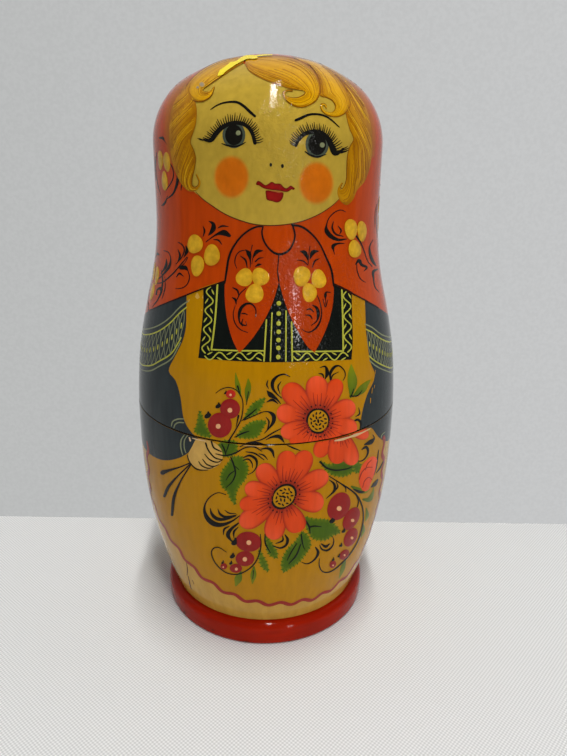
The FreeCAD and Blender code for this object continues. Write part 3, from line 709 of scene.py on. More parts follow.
# Black brush work in pixels, each point with its width
KERCHIEF_SPRAYS = [
    [(203, 226, 0.6), (204.6, 231, 2), (203.2, 236.4, 0.7)],
    [(208.6, 221, 0.5), (213, 223.6, 3.4), (213.4, 228.6, 5), (210.6, 233, 3), (208.4, 235.4, 0.6)],
    [(218, 228, 0.9), (222.4, 226, 2), (228.4, 226.6, 0.7)],
    [(206, 242, 0.9), (212, 237.4, 1.3), (217.6, 234, 2.4), (224, 232.8, 6), (229.4, 235.6, 3.4)],
    [(213.6, 239.6, 0.6), (218.4, 240.2, 1.8), (222, 244.6, 0.6)],
    [(178, 242, 0.7), (182.4, 245, 1.2), (184.4, 250, 1.4), (182, 257, 1.2), (176, 264, 0.8)],
    [(186, 245.6, 0.6), (187, 251, 3.4), (184, 257.4, 0.7)],
    [(187, 257, 0.8), (180.6, 265, 1.3), (172, 274.6, 1.4), (163, 282, 1.2), (157, 283.4, 0.8)],
    [(178, 249.4, 0.5), (180, 255.6, 2.2), (177.6, 262.6, 0.7)],
    [(164, 250.6, 0.7), (168.6, 252.6, 0.9), (170.8, 259, 1.1), (169, 267, 2.8), (162.4, 275.4, 1.6),
     (158, 279, 0.7)], [(166.6, 259, 0.6), (166, 266, 2.8), (161, 273.6, 0.7)],
    [(188, 257.4, 0.8), (184.4, 263.4, 0.8), (180, 268, 2.2), (185, 267.6, 4.4), (188, 270.6, 0.8)],
    [(188, 270.6, 0.8), (189.6, 277.6, 1.1), (187, 284.6, 1.1), (182, 288, 1), (175.6, 288.8, 0.6)],
    [(176.4, 277, 0.9), (179.6, 273.4, 2), (183.4, 276.4, 0.7)],
    [(158, 300, 0.6), (161, 294, 1), (161, 288.6, 3.6), (157.4, 289.4, 1.4), (156.4, 294.4, 1.8)],
    [(160, 158.6, 0.6), (166.6, 160.4, 0.9), (171.6, 166, 1), (173.6, 174, 1), (171.6, 182, 1.1),
     (166, 190, 0.8)],
    [(345.6, 212, 0.6), (341, 210, 1), (335, 212, 1.1), (329, 218, 1.1), (326.4, 225.4, 1.6),
     (326.6, 231, 4.6), (331, 236.4, 4.4), (338.4, 239.8, 2.8), (346.4, 239, 1)],
    [(333.4, 221.4, 0.6), (332.2, 228, 1.8), (335.6, 234, 2), (343, 236.4, 0.8)],
    [(338, 226, 0.8), (341, 230.4, 1.8), (339.6, 234, 0.7)],
    [(344, 243.4, 0.8), (338, 243.6, 1.8), (333, 246, 3.6), (333.6, 250.6, 1.4), (334.4, 254.4, 0.5)],
    [(356, 236, 2), (361, 243.4, 1.4), (364.4, 252, 1.1), (367.6, 261, 1), (372, 266.4, 0.8)],
    [(373, 239.6, 0.6), (369.8, 246, 1.4), (369.8, 253, 2.6), (372.4, 260.6, 3.2), (376, 266, 0.9)],
    [(355.4, 264.4, 0.9), (359, 260.4, 3.4), (361.4, 264.6, 2.8), (366.8, 267.4, 2.2), (364, 271, 0.6)],
    [(356.6, 264, 0.8), (357.4, 272, 1.1), (360.6, 279, 1.1), (365.4, 282.4, 0.6)],
    [(378, 269, 0.8), (373.4, 271.6, 3), (373.4, 278.6, 1.6), (375, 287, 1.1), (379, 292, 0.7)],
]
TAIL_SPRAYS = [
    [(252.4, 245, 0.9), (250.8, 252.4, 0.8)],
    [(245.6, 249.6, 0.7), (249, 253.6, 4.6), (250.4, 260, 1.6), (250.4, 267.4, 0.6)],
    [(246, 250, 0.7), (240, 251.4, 1), (236.2, 256, 1.1), (235, 262.4, 1), (237, 268.4, 0.6)],
    [(240.6, 256, 0.6), (245.6, 260, 2), (247.4, 267.4, 0.7)],
    [(262.6, 250.6, 0.8), (257, 251.6, 4), (253, 258, 1), (252, 264, 0.6)],
    [(263.4, 257.6, 0.6), (259, 258.4, 1.4), (255.4, 261.6, 1.4)],
    [(255.6, 266.4, 1), (258.6, 264.6, 2.4), (261.4, 264.4, 0.7)],
    [(236, 302.4, 0.7), (240, 294, 1.2), (246, 288, 0.8)],
    [(233, 287.6, 0.9), (237.6, 290.4, 2), (239, 296, 0.8)],
    [(232.4, 297.6, 0.9), (235.6, 299.6, 2.4), (236.4, 304.4, 0.7)],
    [(255.6, 317, 0.7), (255.8, 309.6, 1.2), (252, 304.2, 1.6), (246, 304, 2.4), (241, 308.6, 3.4),
     (239.2, 315.6, 2.6), (239.8, 322, 1.6), (242.8, 326, 0.9)],
    [(241.6, 313.8, 0.8), (244.4, 313.4, 1.4), (247.8, 314.8, 0.7)],
    [(243, 319, 0.8), (242, 324, 1.6), (246.4, 325.4, 1), (246, 321.4, 0.6)],
    [(235.4, 305.6, 0.6), (233.4, 314, 1), (235.2, 323, 1.2), (240.4, 329.4, 1.1), (248, 332.6, 0.6)],
    [(309.6, 246, 0.8), (308.4, 256, 0.8), (308, 264, 0.6)],
    [(299.8, 251, 0.7), (304.6, 252.8, 4.4), (307.6, 259.4, 1.4), (308, 264, 0.6)],
    [(318.4, 251, 0.7), (312.8, 252.2, 4.4), (309.6, 258.8, 1)],
    [(297, 260, 0.6), (303, 261, 1.4), (307.6, 265, 0.8)],
    [(319, 258.6, 0.6), (314.6, 261, 1.8), (312, 267.4, 0.8)],
    [(330, 292.4, 0.8), (326, 292.2, 1.6), (325, 295.6, 3), (325.2, 299, 1), (325.6, 307, 0.6)],
    [(322.6, 299, 0.7), (325, 307, 1.1), (327.6, 299.4, 0.7)],
    [(317, 295.4, 0.7), (320, 304, 1.1), (321.2, 315, 1.4), (318, 325, 2), (312, 331, 1.6), (306.6, 332, 1),
     (301.6, 329, 0.6)],
    [(312, 305, 0.8), (316.4, 308, 3), (318, 314, 3.4), (316.4, 321, 1.6), (311, 325.4, 0.8)],
    [(306, 310, 0.8), (310, 309, 1.8), (313.4, 312, 1)],
    [(305, 315, 0.8), (309.6, 315.6, 1.8), (312, 319, 0.8)],
]
APRON_SPRAYS = [
    [(290, 376.6, 0.7), (284, 374.2, 1.5), (277.4, 376.2, 2.2), (272.8, 381.6, 3.6), (272.8, 388, 3),
     (276.4, 393.4, 1.6), (281.6, 398, 0.8)], [(281, 381.6, 0.7), (278, 386.6, 1.6), (280, 393.6, 0.7)],
    [(268, 380, 0.6), (266.8, 384.6, 1.7), (268.6, 388.6, 0.6)],
    [(267, 390.6, 0.9), (270.4, 394.6, 5), (276, 398.4, 2.4), (280.6, 403.6, 0.8)],
    [(266.6, 402, 0.7), (272.4, 399.8, 2.8), (277.8, 403.4, 0.9)],
    [(260, 412.4, 0.6), (268, 411.6, 1.4), (273.4, 415.4, 4.2), (273.4, 421.6, 3.6), (269, 428, 1.6),
     (264.6, 433, 0.8)], [(266, 417, 0.6), (269, 422, 1.8), (267, 430.4, 0.7)],
    [(283, 427.4, 0.7), (272.4, 433, 1.5), (261.6, 439.4, 1.2), (248, 442.4, 0.8)],
    [(266, 439.6, 0.7), (272.4, 436.8, 2.2), (279.4, 436.6, 3.8), (284.2, 442.4, 0.8)],
    [(319.6, 367.6, 0.6), (325.2, 366.6, 2), (327, 373, 4), (324.8, 379.4, 0.7)],
    [(318.6, 373.4, 0.6), (322.4, 374.4, 1.9), (323.8, 378.8, 0.6)],
    [(330, 380, 0.8), (330.2, 373, 2.8), (334, 367.2, 2.8), (339, 365.8, 1.5), (344, 370.4, 1.2),
     (345, 376, 1), (342.8, 380.4, 0.6)], [(330.6, 381, 1.4), (332.4, 375.4, 1.5), (338.4, 371.8, 0.6)],
    [(352.6, 421.6, 0.8), (357.4, 419.6, 2.4), (360.6, 423, 2.2), (359.6, 430, 0.7)],
    [(358.4, 407.6, 0.6), (359.4, 413.6, 1.6), (355.4, 416.6, 0.6)],
    [(261, 449, 1), (267, 448.2, 2.2), (272, 450.6, 3.2), (274.2, 457.6, 0.8)],
    [(259, 453.6, 0.9), (264, 455.4, 1.6), (267.6, 459.4, 0.7)],
    [(240, 446.6, 1), (248, 443.2, 1.8), (258, 442.8, 2), (268, 446, 1)],
    [(286, 444.6, 0.7), (292.6, 447.6, 1.7), (300, 450.4, 0.8)],
    [(364, 444.6, 0.8), (370, 442.2, 4.6), (374, 438.2, 1.6), (372.6, 434.8, 0.6)],
    [(361.6, 449.4, 1), (366, 447, 3), (367.8, 451.6, 2.2), (365.6, 457.4, 1.4), (361, 461, 1.1),
     (355.6, 460.2, 0.6)], [(378.4, 450, 0.7), (377, 460, 1.6), (375.4, 468, 2), (373.8, 474.6, 0.7)],
    [(383, 461, 0.7), (380, 467.6, 1.4), (376, 473, 0.6)],
    [(371, 487, 1), (374.6, 484, 3.8), (377.4, 479.6, 1.4)],
    [(243, 457.6, 0.9), (249.6, 455.4, 2.2), (255.8, 459, 2.8), (256.8, 465.6, 1.6), (253.4, 471.4, 1.1),
     (248.4, 474.4, 0.6)], [(243, 460.4, 0.7), (248.4, 459, 1.6), (252, 463, 1.3), (252.6, 467.6, 0.6)],
    [(246, 451.6, 0.8), (255, 453.4, 1.7), (264, 459.6, 1)],
    [(226, 494.4, 0.8), (218, 492.6, 1), (210, 497, 1.2), (205.4, 504, 1.6), (204.8, 511.6, 3),
     (208.6, 519.4, 4.8), (215.4, 524, 5), (223, 524.4, 3.6), (232, 521, 2), (240, 515.4, 0.9)],
    [(210.4, 508, 0.6), (212, 514, 2.8), (217.4, 518.6, 3.6), (225.4, 519, 2.6), (236, 515.8, 0.9)],
    [(218, 509, 0.6), (220.4, 514, 2.4), (226.4, 516.8, 2.4), (237, 514.6, 0.6)],
    [(225, 510, 0.6), (229.4, 513, 1.5), (236, 513.4, 0.6)],
    [(229.4, 526, 0.8), (224.4, 529, 2.2), (223.6, 534.4, 0.8)],
    [(238.4, 523, 1.6), (231.6, 528.6, 3), (228, 534.6, 4.2), (231.6, 540.6, 1.6), (236, 543.2, 1.6)],
    [(238.2, 527, 0.8), (234, 531.6, 2.2), (234, 537.4, 0.7)],
    [(329, 479.6, 0.7), (333.8, 483.6, 2.4), (334.6, 489.4, 3), (331, 494, 1.5), (326, 498.4, 0.6)],
    [(336, 481.6, 0.6), (337.6, 486.6, 1.6), (334.6, 491, 0.6)],
    [(319.6, 545, 0.8), (321.8, 549, 1.6), (327, 550.2, 2), (332, 546.2, 1.5), (333.6, 540.6, 1.1),
     (332.2, 536, 0.6)], [(321, 543.6, 1), (325.6, 546.4, 2.8), (329.4, 543.6, 0.8)],
    [(315.4, 547, 1.2), (318, 552, 3), (316, 557.4, 2), (311.4, 561.8, 1.4), (306.4, 563.6, 1.1),
     (301.6, 562, 0.6)],
    [(285, 534.6, 1.2), (287.6, 539.4, 3), (285.8, 545, 2.4), (280, 547.8, 1.7), (272.6, 545.4, 0.7)],
    [(282.6, 535.6, 0.9), (282.6, 540.4, 2), (275.6, 543.4, 0.7)],
]
APRON_STEMS = [
    [(228.6, 441, 1.4), (235, 431, 1.3), (240.8, 420, 1.2), (243, 409, 1.1), (242.6, 400, 1), (239.4, 393, 1),
     (234, 388.6, 1), (227.6, 387.4, 1), (221, 389.4, 0.9), (216, 393, 0.6)],
    [(236.4, 426, 0.6), (238.6, 415.6, 2)], [(246.4, 404.6, 0.7), (248.6, 391.6, 1)],
    [(240.4, 395, 0.8), (237.8, 386, 1.7)], [(242, 420.4, 0.9), (249.6, 414.6, 1.6), (256.8, 408.6, 0.7)],
    [(235, 437, 0.9), (242, 433.4, 1.6), (249, 431, 0.7)],
    [(244, 420, 1), (254, 415.6, 1.1), (264, 411.4, 0.8)],
    [(190.6, 462.6, 1.2), (180, 467, 1.4), (170, 470, 2.6), (163, 472.4, 4.6)],
    [(191, 463.4, 1.2), (178, 476, 1.6), (169, 486.6, 3), (164.8, 496, 2.6)],
    [(191.6, 463.8, 1.3), (181, 481, 1.6), (174.4, 497, 3), (172.4, 514.6, 2.6)],
    [(216, 453.6, 0.9), (226, 455.4, 1.5), (236, 452.4, 1.4), (245, 447.6, 1.2), (254, 446.6, 1.6),
     (262, 451, 0.8)], [(230.4, 439, 1), (228.4, 446, 1.1), (225.6, 453.6, 0.7)],
    [(222, 444, 1), (224.4, 449, 1.6), (226, 454.4, 0.8)],
    [(231, 457, 1.4), (234, 465, 1.6), (235.6, 473, 1.5), (232.6, 481, 1.2), (226, 487.6, 0.6)],
    [(235.6, 470, 0.7), (230, 474, 1.2), (226, 480, 0.5)], [(235.6, 466.4, 0.7), (239, 469.4, 0.6)],
    [(351, 396, 1.4), (353.4, 388.6, 0.6)], [(349.6, 396, 1.3), (357, 395.6, 1.2), (361.6, 390.4, 0.6)],
    [(320, 461.6, 2), (326, 467.4, 1.9), (335, 470, 1.6), (345, 469, 1.3), (351.6, 466.8, 0.7)],
    [(304, 518.6, 1.8), (308.6, 525.6, 1.9), (310, 533, 0.8)],
    [(309, 527, 1.6), (314, 525.8, 1.5), (321, 526.4, 0.7)],
    [(301, 534, 1.4), (302.4, 543, 1.3), (304.6, 550, 0.6)],
    [(300.6, 544, 1), (296, 555, 1.5), (288.6, 563.6, 0.6)],
    [(296.6, 543, 0.8), (291.4, 551.4, 1.2), (287, 560, 0.6)],
    [(265, 534, 1.2), (265.4, 543, 1.6), (270.4, 552.4, 0.8)], [(253.6, 570, 1), (252.8, 578.6, 0.6)],
    [(260.4, 534, 0.9), (261, 545, 1.2), (258.4, 556, 1.3), (254, 564, 1.3), (247.6, 569.6, 1.2),
     (240, 573.4, 1.1), (232, 574, 1), (224, 571, 1), (216, 563.4, 1.1), (211.8, 554, 1.2),
     (213.4, 548.4, 1.2), (219, 547.2, 1), (226.6, 551.8, 0.6)],
    [(329, 476, 1), (340, 483, 1.4), (350, 489.4, 1.6), (357, 496, 1.8), (361.8, 506, 1.3), (363, 518, 1.3),
     (361, 530, 1.2), (357, 542, 1.2), (350, 553.4, 1.2), (342, 562.4, 1.2), (335, 568.6, 1.2),
     (328, 572, 1.2), (322, 571, 1.1), (319, 565, 1.1), (319.4, 558, 0.6)],
    [(341, 484, 0.9), (345, 487.4, 1.1), (345.6, 491.4, 0.8)],
    [(355.6, 494, 1), (358, 501, 1.1), (357, 507, 0.8)], [(353, 489, 1), (359, 491.6, 3), (364, 491.6, 1)],
]
# Leaves as closed outlines, and thin ones as strokes
LEAVES = [
    [(200, 411), (196.6, 424), (194.6, 431.6), (203, 436.4), (211, 436.6), (206, 425), (200, 411)],
    [(265, 398.4), (256, 401), (248.6, 408), (244.6, 418.4), (254, 415.6), (260.6, 409), (265, 398.4)],
    [(266, 421.4), (256, 420.4), (246, 425), (236.6, 436), (246, 438.6), (257, 437), (262, 430),
     (266, 421.4)],
    [(222, 440.6), (218, 447), (218.6, 454), (228, 457), (236, 453), (237.6, 446), (235, 440.6),
     (222, 440.6)],
    [(233, 457), (241, 456.4), (246.8, 462), (248.4, 470), (245.6, 479), (240, 486), (236.4, 494),
     (235.6, 504.4), (230.6, 499.6), (227, 491.6), (221.8, 486.6), (220.2, 478), (222.4, 470), (227.6, 463),
     (233, 457)],
    [(320, 461.4), (330, 464), (342, 460.6), (353.6, 466), (352, 472.4), (343.4, 476.6), (333, 475.4),
     (325.4, 470), (320, 461.4)],
    [(353, 463.4), (359, 462.4), (361.4, 467), (358.4, 473), (352.8, 471), (353, 463.4)],
    [(303, 517.4), (315, 518.4), (327, 519.4), (334.6, 524), (340, 532), (332, 536), (325.4, 540),
     (315, 539.6), (309, 534), (303, 517.4)],
    [(301.6, 532), (308, 535), (310.8, 545), (305.6, 554), (299.4, 562), (290, 568.6), (283.4, 572),
     (281, 565), (283, 556), (288, 548), (295, 541), (301.6, 532)],
    [(265.4, 536), (271, 541.4), (277, 551), (277, 558), (270.4, 556), (266.4, 549), (265.4, 536)],
    [(259.4, 550), (264, 556.6), (268, 565), (268, 571.4), (262, 567.4), (259, 560), (259.4, 550)],
]
THIN_LEAVES = [
    [(240.6, 396, 1.4), (238.4, 388, 5), (236.8, 381, 4), (235.6, 373, 0.8)],
    [(246.6, 402, 1), (247.6, 392, 6), (248.6, 385, 5), (248.2, 378.6, 1)],
    [(350.6, 397, 2), (352.2, 383, 9.6), (351.4, 373, 7), (351, 364.6, 1)],
    [(352.8, 396.4, 1.6), (361, 390, 7.6), (366, 384, 5), (370, 380, 1)],
    [(254, 567, 2), (253.4, 575, 6), (252.4, 583, 1.4)],
    [(241, 571.6, 1.4), (238.4, 578.4, 7.6), (236, 585, 2.4)],
    [(345.6, 558, 1), (342.6, 568, 4.4), (339, 578, 0.9)],
    [(363, 499.4, 2), (369, 499.4, 4.8), (372.4, 493, 2.8), (373.4, 487.4, 0.9)],
    [(351.6, 486.4, 2), (358, 489.8, 5), (364, 491.4, 4.2), (369, 489.6, 1.2)],
    [(366, 508, 1), (367, 515, 3.6), (365, 521, 1)], [(363, 524, 1), (363.4, 530, 3), (361, 537, 0.9)],
]
# Berries as (x, y, half width, half height, tilt) and each one's highlight and tuft
BERRIES = [
    (230.8, 394, 5, 4.3, 0, (230.8, 394.6), (225.6, 393)),
    (230.2, 408.6, 10, 10, 0, (230.2, 410), (218.4, 406)),
    (220, 425, 12, 12.6, 0, (218.6, 426), (208, 415.6)), (248.6, 541.4, 13, 10, 6, (249, 542), (235, 542)),
    (245, 558.4, 9.4, 7.6, 0, (245, 558.6), (232.6, 556)),
    (236, 568, 6.2, 4.5, 0, (236.6, 568.4), (231, 563)),
    (224, 566, 3.4, 3.2, 0, (223.6, 566.4), (222.8, 562.4)),
    (338.6, 506, 10.6, 14.8, 28, (338.6, 508), (332, 520.6)),
    (351, 518.4, 7, 12.6, 30, (352, 520), (343.4, 531)),
    (350.4, 537, 6, 10.2, 28, (351.4, 537.4), (340.6, 545.4)),
    (344, 554.4, 4, 6, 42, (344, 554.6), (338.6, 556)),
    (332.6, 564, 3.2, 4, 30, (332.6, 564.8), (332.8, 559.6)),
]
# Petals as (tip x, tip y, half width), painted in this order round each flower's heart
UPPER_HEART, UPPER_PETALS = (317.6, 420.6), [
    (339, 379.4, 8.4), (354.6, 404.6, 9.6), (356.6, 429, 9), (343, 449, 9), (326, 456, 9), (308, 452, 9),
    (291, 444, 8.6), (281, 434, 8.4), (276.8, 411, 9.8), (285, 385, 11), (316.4, 375.8, 10.8),
]
# Below the seam the same flower stands further round, because the halves aren't closed quite straight
TURNED_HEART, TURNED_PETALS = (337, 421), [
    (316.6, 456.6, 7.8), (368, 436.4, 6.4), (353.4, 464.6, 8.6), (336.6, 463.6, 9),
]
LOWER_HEART, LOWER_PETALS = (283.8, 496), [
    (308.4, 451, 9.6), (327.4, 473.4, 9.4), (323.4, 503.4, 10.4), (299, 531.6, 10.4), (271.4, 539, 10),
    (240.6, 525, 10), (239.8, 505.4, 8), (245, 487, 8.6), (259.6, 465, 9.8), (288, 450.4, 10),
]
BUD = [(364.8, 486.6, 9), (364.8, 480, 13), (367.4, 470, 14.4), (371, 462.6, 11), (372.4, 460.6, 9)]
BUD_LINES = [
    [(358.6, 479, 0.8), (361.4, 472, 0.9), (366, 467.4, 0.8), (371.6, 467, 0.6)],
    [(362, 487, 0.7), (364, 480.6, 0.9), (368, 477, 0.8), (371.4, 479.6, 0.6)],
    [(364.8, 470, 0.5), (367, 463.6, 0.8), (371, 459.6, 0.5)],
]
CRACKS = [
    [(186.6, 563, 0.5), (187.6, 569, 0.9), (187.2, 575, 0.5)],
    [(188.4, 576, 0.5), (190, 584, 0.8), (191.4, 589, 0.4)], [(192.6, 580, 0.4), (194, 584, 0.5)],
]
SEAM_CHIPS = [
    [(334, 440.4, 1.0), (341, 439, 2.4), (349, 436.6, 1.6), (355, 434.6, 2.8), (361, 432.4, 1.4),
     (369, 428.4, 1.0)], [(193, 437.6, 0.6), (198, 439, 1.3), (206, 440.6, 0.8)],
    [(243, 444.4, 0.6), (250, 445, 1.1), (262, 445.6, 0.6)],
]
SLEEVE_SCRATCHES = [
    [(372.6, 375, 0.5), (372.2, 380, 0.9), (371.8, 383, 0.5)], [(371.8, 388, 0.8), (371.2, 393, 0.6)],
    [(370, 398, 0.8), (369.8, 403, 0.5)], [(374.6, 370, 0.6), (374.4, 374, 0.5)],
    [(374, 385, 0.5), (373.6, 388, 0.4)],
]
FOOT_MARKS = [
    ((184.6, 612.4), 1.5, 2.2, -30), ((246, 641), 5, 0.8, 3), ((291, 641.4), 4, 0.7, -3),
    ((213, 630), 2.4, 1, 20),
]
SCUFFS = [((202.6, 85.6), 3.2, 2.8, 20), ((198.4, 88.4), 1.8, 1.5, 0)]
CHEEKS = [((231.6, 177), 16.8, 20.4), ((316.2, 183), 16.6, 20.4)]
NOSTRILS = [((270.8, 164.8), 1.3, 1.9), ((282.4, 166), 1.5, 2.1)]
EYES = [((234, 135), 10.2, 12), ((317, 144.4), 10.4, 12.4)]
EYE_LIGHTS = [((238.4, 133), 2.4), ((322, 145), 2.5)]
CHIP_TAIL = [(256, 57.6, 1.3), (264, 56.8, 1.2), (272, 56.6, 0.7)]
YOKE_EDGES = [
    [(204, 289.4, 1.4), (215, 285, 1.6), (226, 280.6, 1.6)],
    [(333, 283.6, 1.6), (342, 287.6, 1.5), (351.6, 292.6, 1.4)],
]
UPPER_SIZE, LOWER_SIZE, LOWER_TILT = (11, 12), (13.4, 10.2), -45
# Scrolls round a trio of dabs, as millimetres round and up from its middle with their widths
ROUND_SPRAY = [
    [(-7.4, 6.4, 0.3), (-10.6, 2.4, 1.2), (-10.8, -3, 1.8), (-7.6, -8, 1.0), (-2.4, -10.6, 0.3)],
    [(-12, 4, 0.3), (-14, -1.6, 1.1), (-12.6, -6.8, 0.4)],
    [(7.6, 6.2, 0.3), (10.8, 1.6, 1.5), (9.8, -4.6, 1.1), (5, -9.6, 0.3)],
    [(12, 4.4, 0.3), (13.6, 0, 1.0), (12.6, -4.6, 0.3)],
    [(-2.6, -9.6, 0.3), (0.4, -12.4, 1.2), (4.4, -13.8, 0.3)],
    [(-4.4, 9, 0.3), (-0.8, 11.2, 1.1), (3.8, 11.4, 0.3)],
]


# How far each kind of paint lies off the wood, in millimetres
LIFT = {
    "skirt": 0.03, "scrolls": 0.05, "apron": 0.06, "skin": 0.06, "round dabs": 0.06, "foot marks": 0.08,
    "hair edge": 0.08, "cheeks": 0.09, "dress": 0.1, "nose": 0.1, "iris": 0.1, "cracks": 0.1, "lips": 0.12,
    "chin": 0.12, "locks": 0.12, "leaves": 0.12, "wavy line": 0.12, "bands": 0.14, "yoke edge": 0.14,
    "pupils": 0.14, "trim": 0.15, "lip highlight": 0.15, "eye lines": 0.15, "sprays": 0.15, "lids": 0.16,
    "hand": 0.16, "tails": 0.2, "upper flower": 0.2, "bud": 0.2, "berries": 0.2, "eye lights": 0.21,
    "lower flower": 0.22, "stems": 0.24, "hem": 0.24, "tail scrolls": 0.27, "dabs": 0.28, "scratches": 0.3,
    "bud lines": 0.36, "berry lights": 0.4, "chips": 0.5, "yellow stroke": 0.64, "yellow patch": 0.66,
}
# How finely outlines are followed on the largest doll
HEM_STEP, APRON_STEP, SLEEVE_STEP, FRONT_STEP, LEAF_STEP, CHIP_STEP = 3.0, 2.4, 2.2, 3, 2, 1.5

# The apron between two places of the hem and, at its sides, two places of its own
APRON_HEM, APRON_RIGHT, APRON_LEFT, SKIRT_ROWS = (-45, 55), (58, 130), (-58, 120), 12
WAVES, WAVE_DEPTH, WAVE_WIDE, WAVE_PLACES = 21, 1.1, 2.2, 260

# The sleeves' bands: where their lines run, as a share from top to bottom, and how the arches cross
ARCHES, ARCH_PLACES = 18, 4
BAND_LINES = ((-0.13, TRIM_GREY), (0.04, TRIM_GREEN), (0.95, TRIM_GREEN), (1.1, TRIM_GREY))
RIB_STEPS, RIB_DEPTHS = (0, 1, 2, 2, 1, 0), (0.06, 0.2, 0.42, 0.6, 0.8, 0.93)
BAND_WIDE, RIB_WIDE, DROP_WIDE, DROP_HIGH = 0.55, 0.34, 0.36, 1.2
# The yoke's border, and the stroke in each of its bays as place, share of the wave and width
BORDER_WAVE, BAY_PLACES, BORDER_WIDE = 3.6, 12, 1.25
BAY_STROKE = ((-3, 0.4, 0.6), (0, 0.75, 1.5), (3, 1.1, 0.6))

# Face and eyes, as shares of the sizes in the tables, and lashes. Lashes and a leaf's teeth are at least
# LEAST_SHARE of their length and at most MORE_SHARE longer
CHEEK_BLUSH, CHEEK_FADE, BROW_WIDE, LIP_LAYER = 1.12, 13, 1.3, 0.02
IRIS_WIDE, IRIS_HIGH, PUPIL_SHARE = 1.12, 1.1, 0.86
LASHES, LASH_LENGTH, LASH_SWAY, LASH_BEND, LASH_MIDDLE = 38, 6.8, 2.2, 0.55, 14
LASH_WIDTHS, LEAST_SHARE, MORE_SHARE = (1.3, 1.1, 0.5), 0.7, 0.5

# Hair: soft dark edges behind the twisted locks as width and tone, then what lies on each lock
FRINGE_PLACES, FRINGE_CUT, FRINGE_END = 24, 10, 0.3
HAIR_EDGES = [(22, colour(182, 76, 4)), (15, colour(176, 88, 6)), (8, colour(168, 92, 4))]
EDGE_LAYER, LOCK_LAYER, EDGE_RISE, STRAND_RISE = 0.01, 0.04, 0.03, 0.13
EDGE_PLACES, EDGE_LEAST, EDGE_WIDTHS = 30, 8, (0.4, 0.9)
HAIR_PLACES, HAIR_FIRST, HAIR_WIDE, HAIR_LAST = 60, 44, 0.38, 0.97
HAIR_STROKES, HAIR_RUN = {False: 34, True: 70}, {False: 22, True: 10}  # on a plain and a twisted lock
STRAND_START, STRAND_REACH, STRAND_DRIFT, STRAND_CROWD = 0.04, 0.9, 0.6, 1.3

# Flowers: the heart's dabs as share of its size, rise, tint and body, and rings of seeds and stamens as share
# of the heart's size, count and size
PETAL_FULL, PETAL_START, PETAL_LAYER = 1.05, 0.2, 0.03
HEART = ((1.08, 0.2, BLACK, 0.06), (0.9, 0.24, MUSTARD, 0.12))
HEART_RINGS = [(0.0, 1, 1.5), (0.34, 6, 1.2), (0.66, 12, 1.1), (1.32, 20, 1.0)]
SEED_RISE, STAMEN_RISE, SEED_SWAY, SEED_LONG, SEED_HIGH = 0.38, 0.2, 0.12, 1.5, 0.75
# Berries: the pale touch, and the tuft's two dabs as offset, width, height and tilt
TOUCH_SHARE, TOUCH_LEAST, TOUCH_MOST = 0.24, 0.8, 2.4
TUFT_SHARE, TUFT_LEAST, TUFT = 0.2, 1.0, (((0, 0), 1.5, 1, -30), ((0.6, -1.4), 0.6, 1.3, 0))
TOOTH_FIRST, TOOTH_STEP, TOOTH_ROOT, TOOTH_LEAN, TOOTH_WIDTHS = 3, 8, 1.5, 0.6, (1.6, 1.1, 0.4)
DAB_UNROUND = 0.045


# The painting, pot by pot

def hem_between(first, last):
    """The kerchief's hem from one angle to another, in degrees and millimetres up."""
    angles, heights = np.array(HEM, float).T
    inner = [(a, z) for a, z in HEM if min(first, last) < a < max(first, last)]
    ends = [(a, float(np.interp(a, angles, heights))) for a in (first, last)]
    return [ends[0], *(inner if first < last else inner[::-1]), ends[1]]


def skirt_above_seam(pot):
    """The band of skirt that shows between the seam and the kerchief's hem."""
    hem = smooth(rounded(HEM), HEM_STEP * min(pot.detail, COARSEST_FILL))
    foot = np.stack([hem[:, 0], np.full(len(hem), SEAM_HEIGHT)], 1)
    places = between(foot[:, None], hem[:, None], np.linspace(0, 1, SKIRT_ROWS)[None, :, None])
    pot.add_grid(places, np.array(LIFT["skirt"]), PALE_SKIRT, round_shape=True)


def apron(pot):
    """The mustard apron, under sleeves and hem, down to its wavy edge."""
    hem = hem_between(*APRON_HEM)
    runs = [hem, [hem[-1], APRON_RIGHT, WAVE_LINE[-1]], WAVE_LINE[::-1], [WAVE_LINE[0], APRON_LEFT, hem[0]]]
    outline = joined([rounded(run) for run in runs], APRON_STEP * pot.detail)
    pot.zone(outline, LIFT["apron"], MUSTARD, round_shape=True, spacing=2.6)


def dress(pot):
    """The navy sleeves with their lower ends, and the black yoke."""
    for sleeve in (LEFT_SLEEVE, RIGHT_SLEEVE):
        armpit, shoulder = sleeve[0][0], sleeve[-1][0]
        upper = hem_between(shoulder, armpit)
        runs = [rounded([upper[-1], *sleeve[1:-1], upper[0]]), rounded(upper)]
        outline = joined(runs, SLEEVE_STEP * pot.detail)
        pot.zone(outline, LIFT["dress"], NAVY, round_shape=True, spacing=2.6)
    pot.zone(joined(YOKE, FRONT_STEP * pot.detail), LIFT["dress"], YOKE_BLACK, spacing=4.2)


def sleeve_bands(pot):
    """Double lines round each sleeve with an arcade of crossed arches and yellow drops between them."""
    for curves in SLEEVE_BANDS:
        top, bottom = (evenly(rounded(curve), ARCHES * ARCH_PLACES + 1) for curve in curves)
        for share, tint in BAND_LINES:
            line = between(top, bottom, share)[::ARCH_PLACES]
            pot.stroke(brushed(line, BAND_WIDE), LIFT["bands"], tint, round_shape=True, body=0.03)
        for middle in range(ARCH_PLACES // 2, ARCHES * ARCH_PLACES, ARCH_PLACES):
            for way in (-1, 1):
                reach = [middle + way * step for step in RIB_STEPS]
                rib = [between(top[i], bottom[i], depth) for i, depth in zip(reach, RIB_DEPTHS)]
                pot.stroke(brushed(rib, RIB_WIDE), LIFT["trim"], TRIM_GREY, round_shape=True, body=0.02)
            drop = between(top[middle], bottom[middle], 0.5)
            pot.dab(drop, DROP_WIDE, DROP_HIGH, LIFT["trim"], TRIM_GREEN, body=0.06, round_shape=True)


